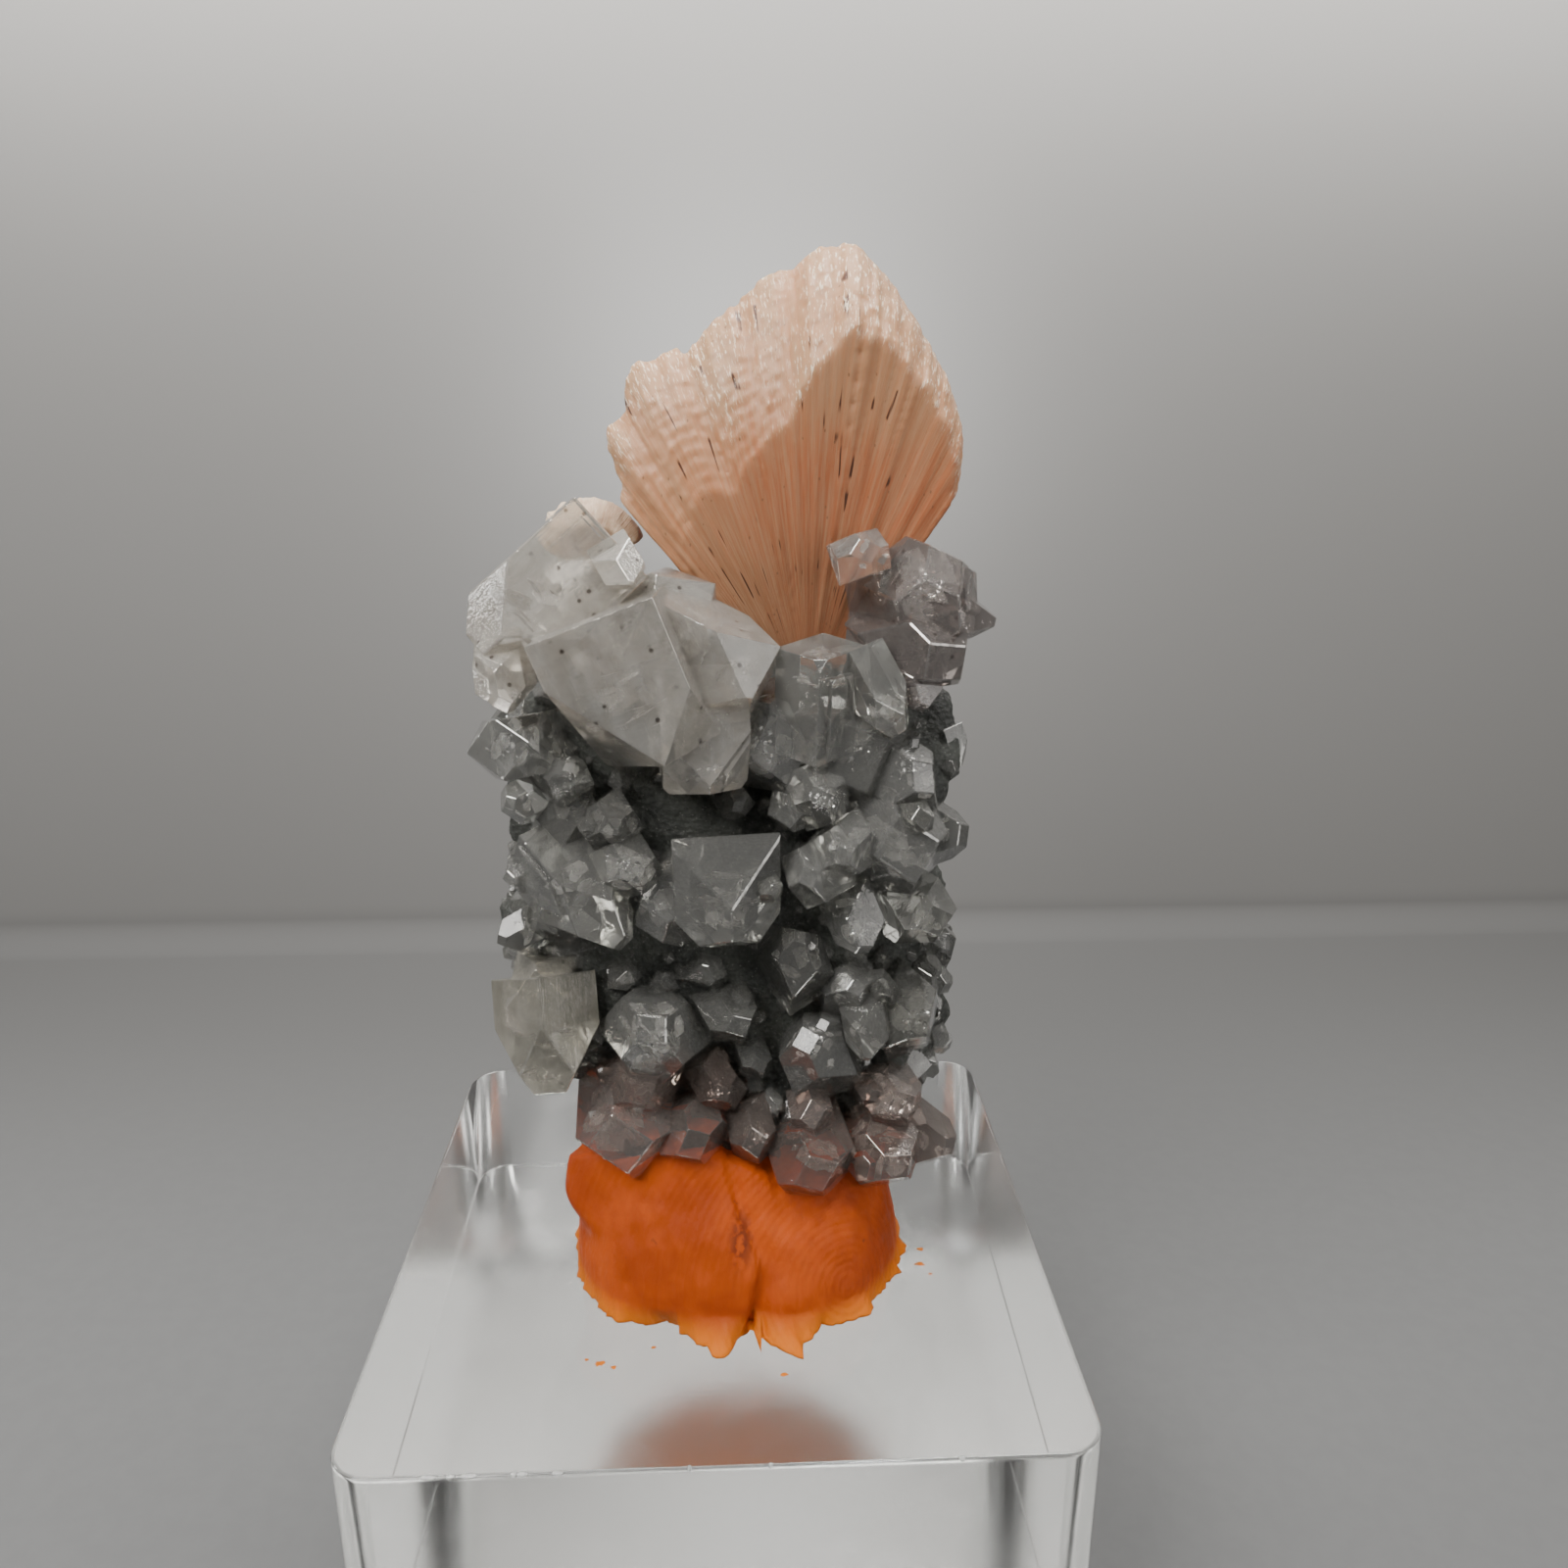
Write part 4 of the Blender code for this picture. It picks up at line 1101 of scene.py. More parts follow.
    def stone(self) -> bpy.types.Material:
        """Mix dark green-grey basalt with pale grains and small glints.

        Returns:
            The material.
        """
        mixing = Recipe("basalt")
        place = mixing.millimetres()
        broad = mixing.noise(place, scale=0.25, detail=4.0, roughness=0.6)
        fine = mixing.noise(place, scale=1.8, detail=6.0, roughness=0.7)
        colour = mixing.mix(mixing.span(broad, 0.35, 0.65), self.dark_stone, self.mid_stone)
        colour = mixing.mix(mixing.span(fine, 0.55, 0.75), colour, self.pale_stone)
        grains = mixing.span(mixing.cells(place, scale=2.6), 0.08, 0.2, start=0.7, finish=0.0)
        colour = mixing.mix(grains, colour, self.grain_colour)
        gloss = mixing.span(mixing.noise(place, scale=3.0), 0.4, 0.62, start=0.75, finish=0.32)
        mixing.set(Base_Color=colour, Roughness=gloss,
                   Normal=mixing.relief((fine, 0.25), (mixing.cells(place, scale=2.2), 0.12)))
        return mixing.material

    def dress(self, rock: bpy.types.Object, druse: bpy.types.Object,
              clear: bpy.types.Material) -> None:
        """Give the rock and its small crystals their materials."""
        hand_over(rock, self.stone(), "basalt", "basalt_matrix")
        hand_over(druse, clear, "apophyllite_clear")


@dataclass
class StilbiteSheaf:
    """A fan of very many thin laths that spread from one root."""

    name: str = "stilbite_fan"
    node: str = "stilbite_sheaf"
    slot: str = "stilbite"
    root: Point = (6.9, 0.2, 69.2)
    left: float = -41.0
    right: float = 32.0
    columns: int = 140
    layers: int = 27
    tilts: Span = (-14.8, 12.8)
    start: float = 2.5
    jitter: float = 0.25
    loose_drop: float = 0.6
    lobe_drop: float = 1.1
    dome: float = 1.55
    front_ragged: float = 0.7
    front_jitter: float = 0.35
    steepest: float = 2.5
    lean_span: float = 1.5
    lean_limits: Span = (-0.6, 0.9)
    point_slant: Span = (0.2, 0.9)
    end_fall: Span = (0.7, 1.0)
    end_jitter: float = 0.15
    root_thickness: float = 0.35
    lath_overlap: Span = (1.4, 2.1)
    layer_overlap: Span = (1.3, 1.9)
    twist: float = 9.0
    smoothing: int = 3
    tip_zone: float = 10.0
    stray: float = 7.0
    seat_jitter: float = 0.2
    loose_turns: Span = (14.0, -6.0)
    ragged_depth: Span = (0.5, 1.0)
    loose_depth: Span = (0.6, 1.0)
    calm_lobes: float = 0.25
    calm_streaks: float = 0.12
    lobe_level: float = 0.35
    lobe_swing: Span = (1.1, 0.2)
    lobe_breadth: Span = (4.2, 16.0)
    fine_breadth: Span = (1.3, 9.0)
    streak_level: float = 0.30
    streak_swing: float = 0.9
    streak_breadth: Span = (0.62, 16.0)
    narrowing: float = 160.0
    end_room: Span = (1.3, 0.4)
    end_spare: float = 0.1
    ridge_length: Span = (14.0, 9.0)
    ridge_start: Span = (3.0, 14.0)
    seed: int = 31
    voxel: float = 0.17
    deep: Colour = (0.42, 0.135, 0.056)
    middle: Colour = (0.46, 0.225, 0.115)
    light: Colour = (0.47, 0.290, 0.165)
    tip: Colour = (0.42, 0.280, 0.160)
    # Painted highlight: a pale glint colour streaked near the tips
    painted_glint: Colour = (0.86, 0.72, 0.56)
    root_shade: Colour = (0.22, 0.115, 0.065)
    # Painted shade: near-black for the thin splits between bundles
    split_shade: Colour = (0.09, 0.035, 0.02)
    dirt_and_shade: Colour = (0.20, 0.10, 0.05)
    ridges: Curve = ((2.4, 0.16), (0.9, 0.10))
    outline: Curve = (
        (-41.0, 20.6), (-35.5, 24.1), (-26.0, 27.0), (-20.0, 27.1), (-18.6, 26.5),
        (-11.7, 28.5), (-5.9, 29.7), (-1.9, 31.2), (5.3, 31.9), (9.1, 30.4),
        (16.3, 27.2), (23.7, 24.4), (27.3, 22.9), (33.0, 19.2),
    )
    slope: Curve = (
        (-41.0, 7.2), (-20.0, 8.4), (-4.0, 7.6), (3.0, 4.6), (12.0, 2.4), (33.0, 0.8),
    )

    def lean_at(self, turn: float) -> float:
        """Read how much the outline falls to the right of a direction.

        Args:
            turn: the direction in degrees.

        Returns:
            The fall as a slope.
        """
        before = value_at(self.outline, turn - self.lean_span)
        after = value_at(self.outline, turn + self.lean_span)
        run = math.radians(2.0 * self.lean_span) * value_at(self.outline, turn)
        least, most = self.lean_limits
        return max(least, min(most, (before - after) / run))

    def lath(self, reach: float, width: float, thickness: float, lean: float, fall: float,
             chance: random.Random) -> bmesh.types.BMesh:
        """Cut one lath, narrow at its root and wide at its slanting pointed tip.

        Args:
            reach: its length from the root.
            width: its breadth at the tip.
            thickness: its depth at the tip.
            lean: the slant of its end to the right.
            fall: the slant of its end to the front.
            chance: the sheaf's draw.

        Returns:
            The lath, standing on the root.
        """
        bm = bmesh.new()
        bmesh.ops.create_cube(bm, size=2.0)
        across, forward = self.end_room
        top = width * (across + abs(lean)) + thickness * (forward + abs(fall))
        top = reach + 0.5 * top + self.end_spare
        for vertex in bm.verts:
            distance = top if vertex.co.z > 0.0 else self.start
            share = distance / reach
            vertex.co.x *= width / 2.0 * share
            tapered = self.root_thickness + (1.0 - self.root_thickness) * share
            vertex.co.y *= thickness / 2.0 * tapered
            vertex.co.z = distance
        for side in (-1.0, 1.0):
            across = lean + side * chance.uniform(*self.point_slant)
            forward = -fall * chance.uniform(*self.end_fall)
            forward += chance.uniform(-self.end_jitter, self.end_jitter)
            slope = Vector((across, forward, 1.0)).normalized()
            slice_off(bm, Vector((0.0, 0.0, reach)), slope)
        return bm

    def lobes_at(self, turn: float, tilt: float) -> float:
        """Read how far the bundle in one direction stands back.

        Args:
            turn: the direction in the fan's plane, in degrees.
            tilt: the direction to the front or back, in degrees.

        Returns:
            A share from 0 to about 1.
        """
        breadth, depth = self.lobe_breadth
        bundle = noise.noise(Vector((turn / breadth, tilt / depth, self.seed)))
        breadth, depth = self.fine_breadth
        fine = noise.noise(Vector((turn / breadth, tilt / depth, self.seed + 5.0)))
        coarse_swing, fine_swing = self.lobe_swing
        return max(0.0, self.lobe_level + bundle * coarse_swing + fine * fine_swing)

    def streak_at(self, turn: float, tilt: float) -> float:
        """Read how far one row of tips stands back; rows run from front to back.

        Args:
            turn: the direction in the fan's plane, in degrees.
            tilt: the direction to the front or back, in degrees.

        Returns:
            A share from 0 to about 1.
        """
        breadth, depth = self.streak_breadth
        row = noise.noise(Vector((turn / breadth, tilt / depth, self.seed + 9.0)))
        return max(0.0, self.streak_level + row * self.streak_swing)

    def reach_at(self, turn: float, tilt: float, depth: float,
                 pick: Callable[[float, float], float]) -> float:
        """How far one lath reaches from the root.

        Args:
            turn: its direction in the fan's plane, in degrees.
            tilt: its direction to the front or back, in degrees.
            depth: the share of the fan's depth at which it stands.
            pick: the sheaf's draw between two numbers.

        Returns:
            Its length, with its bundle and row of tips standing back a little.
        """
        loose = ease(*self.loose_turns, turn)
        reach = value_at(self.outline, turn) - value_at(self.slope, turn) * depth ** self.dome
        ragged = max(loose, self.front_ragged * ease(*self.ragged_depth, depth))
        calm = self.calm_lobes
        reach -= self.lobes_at(turn, tilt) * self.lobe_drop * (calm + (1.0 - calm) * ragged)
        calm = self.calm_streaks
        reach -= self.streak_at(turn, tilt) * self.loose_drop * (calm + (1.0 - calm) * loose)
        return reach - pick(0.0, self.front_jitter) * ease(*self.loose_depth, depth)

    def build(self) -> bpy.types.Object:
        """Spread the laths, column by column and layer by layer.

        Returns:
            The sheaf as one piece.
        """
        whole = bmesh.new()
        chance = random.Random(self.seed)
        pick = chance.uniform
        step = (self.right - self.left) / (self.columns - 1)
        rise = (self.tilts[1] - self.tilts[0]) / (self.layers - 1)
        deepest = max(abs(part) for part in self.tilts)
        for column in range(self.columns):
            for layer in range(self.layers):
                turn = pick(-self.seat_jitter, self.seat_jitter)
                turn = self.left + step * (column + 0.5 * (layer % 2) + turn)
                tilt = self.tilts[0] + rise * layer
                depth = abs(tilt) / deepest
                reach = self.reach_at(turn, tilt, depth, pick)
                fall = value_at(self.slope, turn) * self.dome * depth ** (self.dome - 1.0)
                fall /= value_at(self.outline, turn) * math.sin(math.radians(deepest))
                fall = min(self.steepest, fall)
                if tilt > 0.0:
                    fall = -fall
                tilt = tilt * (1.0 - abs(turn) / self.narrowing)
                tilt += pick(-self.jitter, self.jitter)
                width = 2.0 * reach * math.tan(math.radians(step / 2.0))
                width *= pick(*self.lath_overlap)
                thickness = 2.0 * reach * math.tan(math.radians(rise / 2.0))
                thickness *= pick(*self.layer_overlap)
                body = self.lath(reach, width, thickness, self.lean_at(turn), fall, chance)
                twist = math.radians(pick(-self.twist, self.twist))
                place = (Matrix.Translation(self.root)
                         @ Matrix.Rotation(math.radians(turn), 4, "Y")
                         @ Matrix.Rotation(math.radians(-tilt), 4, "X")
                         @ Matrix.Rotation(twist, 4, "Z"))
                bmesh.ops.transform(body, matrix=place, verts=body.verts)
                join_into(whole, body)
        return self.fuse(whole)

    def fuse(self, laths: bmesh.types.BMesh) -> bpy.types.Object:
        """Melt the laths together and note how near each point is to a tip.

        Args:
            laths: all laths.

        Returns:
            The fused fan as one piece.
        """
        bm = melt(laths, self.voxel)
        for _ in range(self.smoothing):
            bmesh.ops.smooth_vert(bm, verts=bm.verts, factor=0.5, use_axis_x=True,
                                  use_axis_y=True, use_axis_z=True)
        bm.normal_update()
        along = bm.verts.layers.float.new("along")
        deepest = max(abs(part) for part in self.tilts)
        for vertex in bm.verts:
            out = vertex.co - Vector(self.root)
            turn = math.degrees(math.atan2(out.x, out.z))
            depth = math.degrees(math.atan2(abs(out.y), math.hypot(out.x, out.z))) / deepest
            tip = value_at(self.outline, turn) - value_at(self.slope, turn) * depth ** self.dome
            vertex[along] = 1.0 - max(0.0, tip - out.length) / self.tip_zone
            ridge = 0.0
            length, across = self.ridge_length
            for breadth, height in self.ridges:
                spot = Vector((turn / breadth, out.length / length, out.y / across))
                ridge += noise.noise(spot) * height
            vertex.co += vertex.normal * ridge * ease(*self.ridge_start, out.length)
        piece = to_piece(self.name, bm)
        piece.data.shade_smooth()
        return piece

    def fibres(self) -> bpy.types.Material:
        """Mix fibres that run out from the root, paler at their tips, with painted glints near the
        tips and painted shade in thin splits.

        Returns:
            The material.
        """
        mixing = Recipe(self.slot)
        place = mixing.millimetres(self.root)
        parts = mixing.add("ShaderNodeSeparateXYZ", {0: place}).outputs
        turn = mixing.math("ARCTAN2", parts["X"], parts["Z"])
        reach = mixing.math("SQRT", mixing.math("ADD", mixing.math("POWER", parts["X"], 2.0),
                                                mixing.math("POWER", parts["Z"], 2.0)))
        fan = mixing.add("ShaderNodeCombineXYZ", {
            "X": mixing.math("MULTIPLY", turn, 60.0),
            "Y": mixing.math("MULTIPLY", reach, 0.12),
            "Z": mixing.math("MULTIPLY", parts["Y"], 0.06)}).outputs[0]
        fibre = mixing.noise(fan, scale=1.6, detail=5.0, roughness=0.65)
        strand = mixing.noise(fan, scale=0.35)
        splits = mixing.stretch(fan, (1.0, 1.6, 1.0))
        splits = mixing.noise(splits, scale=0.8, detail=1.0, roughness=0.4)
        wander = mixing.math("MULTIPLY", mixing.noise(place, scale=0.16), self.stray)
        far = mixing.math("ADD", reach, wander)
        deep = mixing.math("MULTIPLY", mixing.span(far, 19.0, 28.0, start=1.0, finish=0.0),
                           mixing.span(turn, -0.5, -0.05, start=0.3))
        colour = mixing.mix(deep, self.middle, self.deep)
        shaded = mixing.span(far, 12.0, 22.0, start=0.4, finish=0.0)
        colour = mixing.mix(shaded, colour, self.root_shade)
        colour = mixing.mix(mixing.span(fibre, 0.35, 0.7, finish=0.5), colour, self.light)
        along = mixing.grain("along").outputs["Fac"]
        pale = mixing.math("MULTIPLY", mixing.span(along, 0.84, 1.0),
                           mixing.span(turn, -0.1, 0.4, start=0.6, finish=0.2))
        colour = mixing.mix(pale, colour, self.tip)
        # Painted shade: thin near-black lines in patches where bundles split apart
        patches = mixing.span(mixing.noise(place, scale=0.3, detail=2.0), 0.5, 0.56)
        cracks = mixing.math("MULTIPLY", mixing.span(splits, 0.67, 0.70), patches)
        colour = mixing.mix(cracks, colour, self.split_shade)
        specks = mixing.cells(mixing.stretch(place, (1.6, 1.6, 0.8)), scale=0.8)
        specks = mixing.span(specks, 0.05, 0.11, start=0.75, finish=0.0)
        colour = mixing.mix(specks, colour, self.dirt_and_shade)
        # Painted glints: pale streaks near the tips that stand in for sparkle
        painted_glint_mask = mixing.stretch(fan, (1.3, 5.0, 6.0))
        painted_glint_mask = mixing.noise(painted_glint_mask, scale=2.6, detail=2.0, roughness=0.6)
        painted_glint_mask = mixing.math("MULTIPLY", mixing.span(painted_glint_mask, 0.55, 0.66),
                              mixing.span(along, 0.84, 0.97, finish=0.85))
        colour = mixing.mix(painted_glint_mask, colour, self.painted_glint)
        gloss = mixing.span(fibre, 0.3, 0.7, start=0.32, finish=0.55)
        mixing.set(Base_Color=colour, Roughness=gloss,
                   Subsurface_Weight=0.25, Subsurface_Radius=(1.0, 0.45, 0.25),
                   Subsurface_Scale=2.0 * MM, Specular_IOR_Level=0.42,
                   Normal=mixing.relief((fibre, 0.06), (strand, 0.03)))
        return mixing.material

    def dress(self, piece: bpy.types.Object, material: bpy.types.Material) -> None:
        """Give the sheaf its fibres."""
        hand_over(piece, material, self.slot, self.node)


@dataclass
class StilbiteKnob(StilbiteSheaf):
    """The small cream fan beside the large one."""

    name: str = "cream_knob"
    node: str = "stilbite_knob"
    slot: str = "stilbite_cream"
    root: Point = (-8.6, 1.6, 79.4)
    left: float = -66.0
    right: float = 58.0
    columns: int = 40
    layers: int = 16
    voxel: float = 0.12
    deep: Colour = (0.54, 0.33, 0.20)
    middle: Colour = (0.58, 0.42, 0.29)
    light: Colour = (0.62, 0.50, 0.37)
    tip: Colour = (0.64, 0.53, 0.41)
    ridges: Curve = ((9.0, 0.35), (3.5, 0.16))
    tilts: Span = (-30.0, 30.0)
    start: float = 0.6
    loose_drop: float = 0.35
    lobe_drop: float = 0.6
    seed: int = 37
    outline: Curve = ((-66.0, 4.2), (-40.0, 4.9), (0.0, 5.0), (30.0, 4.7), (58.0, 4.4))
    slope: Curve = ((-66.0, 0.8), (58.0, 0.8))


@dataclass
class MountingPutty:
    """The orange putty, pressed by hand into two lobes with thin tongues at its foot."""

    centre: Span = (1.4, -3.6)
    edge_height: float = 0.5
    edge_rise: Span = (0.3, 3.0)
    lift: float = 0.02
    climb_curve: float = 1.2
    lump: Span = (4.5, 0.9)
    crease_scale: Span = (0.9, 0.5)
    crease_place: Point = (9.0, 4.0, 2.0)
    crease_depth: float = 0.25
    lean: Span = (0.13, 0.42)
    spokes: int = 260
    rings: int = 46
    bulge: float = 0.01
    ragged_share: float = 0.16
    fold: Curve = ((0.0, 1.8), (3.0, 2.7), (5.0, 3.0), (8.0, 1.6), (11.0, 0.6))
    fold_widths: Span = (0.3, 1.5)
    fold_depth: float = 1.0
    fold_fading: float = 0.5
    torn: float = 0.55
    tears: Span = (9.0, 23.0)
    ear: Point = (-9.3, -6.0, -0.5)
    ear_reach: float = 2.3
    ear_size: float = 1.6
    ear_climb: Span = (0.45, 0.8)
    smear_depth: float = 0.06
    smear_lift: float = 0.01
    smear_corners: int = 14
    smear_taper: float = 0.8
    smear_narrowness: float = 0.6
    smear_raggedness: Span = (0.35, 1.1)
    smear_seed: int = 5
    dark: Colour = (0.31, 0.043, 0.004)
    bright: Colour = (0.45, 0.070, 0.005)
    thin: Colour = (0.62, 0.16, 0.004)
    smudge: Colour = (0.16, 0.035, 0.012)
    # Painted shade along the front fold: its near-black colour and the centre of the dark patch
    dirt_and_shade: Colour = (0.11, 0.022, 0.010)
    crease_shade_place: Point = (1.5, -12.0, 32.2)
    print_place: Point = (9.5, -12.0, 28.0)
    smears: tuple[Point, ...] = (
        (15.6, -6.4, 0.45), (15.9, -4.6, 0.35), (16.3, -7.6, 0.22), (-8.6, -16.0, 0.5),
        (-7.6, -16.4, 0.28), (-9.6, -15.6, 0.2), (4.4, -17.6, 0.3), (-4.9, -14.6, 0.25),
    )
    top: Curve = (
        (-12.0, 37.5), (-10.4, 35.2), (-4.7, 37.6), (-2.6, 38.4), (0.5, 36.8),
        (4.4, 34.8), (10.2, 34.8), (13.0, 33.4),
    )
    body: Curve = (
        (-11.4, -3.0), (-10.4, -8.0), (-8.0, -11.2), (-3.6, -13.0), (1.4, -13.6),
        (6.4, -13.2), (10.6, -11.2), (13.4, -7.0), (14.0, -2.0), (12.6, 4.2),
        (8.2, 7.8), (1.5, 9.0), (-5.0, 8.0), (-9.8, 4.2),
    )
    foot: Curve = (
        (-11.6, -3.7), (-10.1, -8.7), (-8.5, -11.0), (-5.9, -12.2), (-3.7, -12.0),
        (-2.4, -13.4), (-1.0, -15.0), (0.7, -16.1), (1.0, -14.1), (2.3, -12.9),
        (2.9, -14.2), (3.0, -16.0), (5.9, -16.4), (5.8, -14.3), (8.1, -12.9),
        (10.8, -12.3), (11.6, -10.0), (14.1, -6.7), (14.4, -2.0), (12.8, 4.5),
        (8.5, 8.2), (1.5, 9.6), (-5.0, 8.6), (-10.2, 4.6),
    )

    def reach_of(self, outline: Curve, angle: float) -> float:
        """Measure from the centre to an outline in one direction.

        Args:
            outline: the outline's corners.
            angle: the direction in radians.

        Returns:
            The distance in millimetres.
        """
        spokes = []
        for x, y in outline:
            dx, dy = x - self.centre[0], y - self.centre[1]
            spokes.append((math.atan2(dy, dx) % math.tau, math.hypot(dx, dy)))
        spokes.sort()
        spokes = [(spokes[-1][0] - math.tau, spokes[-1][1])] + spokes
        spokes.append((spokes[1][0] + math.tau, spokes[1][1]))
        return value_at(tuple(spokes), angle % math.tau)

    def shape(self, station: Vector) -> Vector:
        """Place one point of the putty.

        Args:
            station: its direction in x and y, and its ring's number in z.

        Returns:
            The point in millimetres.
        """
        floor = BLOCK_HEIGHT + self.lift
        angle = math.atan2(station.y, station.x)
        climb = max(0.0, (station.z - 1.0) / (self.rings - 1.0))
        ragged = max(0.0, 1.0 - climb / self.ragged_share)
        spread = self.reach_of(self.body, angle)
        spread += (self.reach_of(self.foot, angle) - spread) * ragged
        way = Vector((math.cos(angle), math.sin(angle), 0.0))
        torn = sum(noise.noise(way * count) for count in self.tears)
        spread += torn * self.torn * ragged
        spread *= min(1.0, math.hypot(station.x, station.y))
        spread *= 1.0 + self.bulge * math.sin(math.pi * climb)
        x = self.centre[0] + spread * way.x * (1.0 - self.lean[0] * climb * climb)
        y = self.centre[1] + spread * way.y * (1.0 - self.lean[1] * climb * climb)
        if station.z < 0.5:
            return Vector((x, y, floor))
        rise = value_at(self.top, x) - floor - self.edge_height
        lip, steepness = self.edge_rise
        height = self.edge_height * min(1.0, steepness * climb + lip)
        height += rise * climb ** self.climb_curve
        breadth, rise = self.lump
        lump = noise.noise(Vector((x, y, height)) / breadth) * rise
        flat, rise = self.crease_scale
        spot = Vector((x * flat, y * flat, height * rise)) + Vector(self.crease_place)
        crease = self.crease_depth * noise.noise(spot)
        if y < self.centre[1]:
            away = x - value_at(self.fold, height)
            away /= self.fold_widths[away > 0.0]
            y += self.fold_depth * math.exp(-away * away) * (1.0 - self.fold_fading * climb)
        y += crease * climb
        near = math.hypot(x - self.ear[0], (y - self.ear[1]) / 2.0) / self.ear_size
        ear = math.exp(-near * near) * ease(*self.ear_climb, climb)
        x -= self.ear_reach * ear
        return Vector((x, y, floor + height + lump * climb + self.ear[2] * ear))

    def build(self) -> bpy.types.Object:
        """Raise the rings from the pressed-out foot to the specimen.

        Returns:
            The putty as one piece.
        """
        bm = bmesh.new()
        bmesh.ops.create_circle(bm, cap_ends=True, radius=1.0, segments=self.spokes)
        ring = bm.edges[:]
        for level in range(1, self.rings + 1):
            rim, ring = draw_out(bm, ring)
            for vertex in rim:
                vertex.co.z = float(level)
        lid = bmesh.ops.edgeloop_fill(bm, edges=ring)["faces"]
        bmesh.ops.poke(bm, faces=lid)
        for vertex in bm.verts:
            vertex.co = self.shape(vertex.co)
        piece = to_piece("orange_putty", bm)
        piece.data.shade_smooth()
        return piece

    def build_smears(self) -> bpy.types.Object:
        """Leave a few thin traces of putty on the block beside the mound.

        Returns:
            The traces as one piece.
        """
        bm = bmesh.new()
        chance = random.Random(self.smear_seed)
        for x, y, size in self.smears:
            trace = bmesh.ops.create_cone(bm, cap_ends=True, segments=self.smear_corners,
                                          radius1=size, radius2=size * self.smear_taper,
                                          depth=self.smear_depth)["verts"]
            for vertex in trace:
                reach = chance.uniform(*self.smear_raggedness)
                vertex.co.x *= reach
                vertex.co.y *= reach * self.smear_narrowness
            height = BLOCK_HEIGHT + self.smear_depth / 2.0 + self.smear_lift
            bmesh.ops.translate(bm, vec=(x, y, height), verts=trace)
        return to_piece("putty_traces", bm)

    def dress(self, piece: bpy.types.Object, smears: bpy.types.Object) -> None:
        """Give the putty its orange, with finger marks, dark smudges and painted shade along its
        front fold.

        Args:
            piece: the mound.
            smears: the traces beside it.
        """
        mixing = Recipe("putty")
        place = mixing.millimetres()
        broad = mixing.span(mixing.noise(place, scale=0.2, roughness=0.55), 0.35, 0.65)
        colour = mixing.mix(broad, self.dark, self.bright)
        height = mixing.add("ShaderNodeSeparateXYZ", {0: place}).outputs["Z"]
        edge = mixing.span(height, 25.6, 27.4, start=0.8, finish=0.0)
        colour = mixing.mix(edge, colour, self.thin)
        smudge = mixing.noise(place, scale=0.55, detail=4.0, roughness=0.7)
        smudge = mixing.span(smudge, 0.66, 0.74, finish=0.7)
        colour = mixing.mix(smudge, colour, self.smudge)
        # Painted shade: a dark patch in noisy spots along the front fold crease, darkest at its
        # centre line
        fold = mixing.stretch(mixing.millimetres(self.crease_shade_place), (1.0, 0.3, 0.45))
        away = mixing.add("ShaderNodeVectorMath", {0: fold}, operation="LENGTH").outputs["Value"]
        patches = mixing.span(mixing.noise(place, scale=1.3), 0.42, 0.58, finish=0.8)
        dirt_and_shade = mixing.math("MULTIPLY", mixing.span(away, 0.2, 1.3, start=1.0, finish=0.0),
                           patches)
        colour = mixing.mix(dirt_and_shade, colour, self.dirt_and_shade)
        rings = mixing.add("ShaderNodeTexWave", {
            "Vector": mixing.millimetres(self.print_place), "Scale": 0.55,
            "Distortion": 1.6, "Detail": 1.0, "Detail Scale": 0.3},
            wave_type="RINGS", rings_direction="SPHERICAL").outputs["Fac"]
        wrinkles = mixing.stretch(place, (1.0, 1.0, 0.4))
        wrinkles = mixing.noise(wrinkles, scale=0.8, detail=5.0, roughness=0.6)
        gloss = mixing.span(mixing.noise(place, scale=1.0), 0.35, 0.65, start=0.55, finish=0.75)
        mixing.set(Base_Color=colour, Roughness=gloss, Specular_IOR_Level=0.2,
                   Subsurface_Weight=0.12, Subsurface_Radius=(1.0, 0.35, 0.1),
                   Subsurface_Scale=1.2 * MM,
                   Normal=mixing.relief((wrinkles, 0.20), (rings, 0.02)))
        hand_over(piece, mixing.material, "putty", "mounting_putty")
        hand_over(smears, mixing.material, "putty")


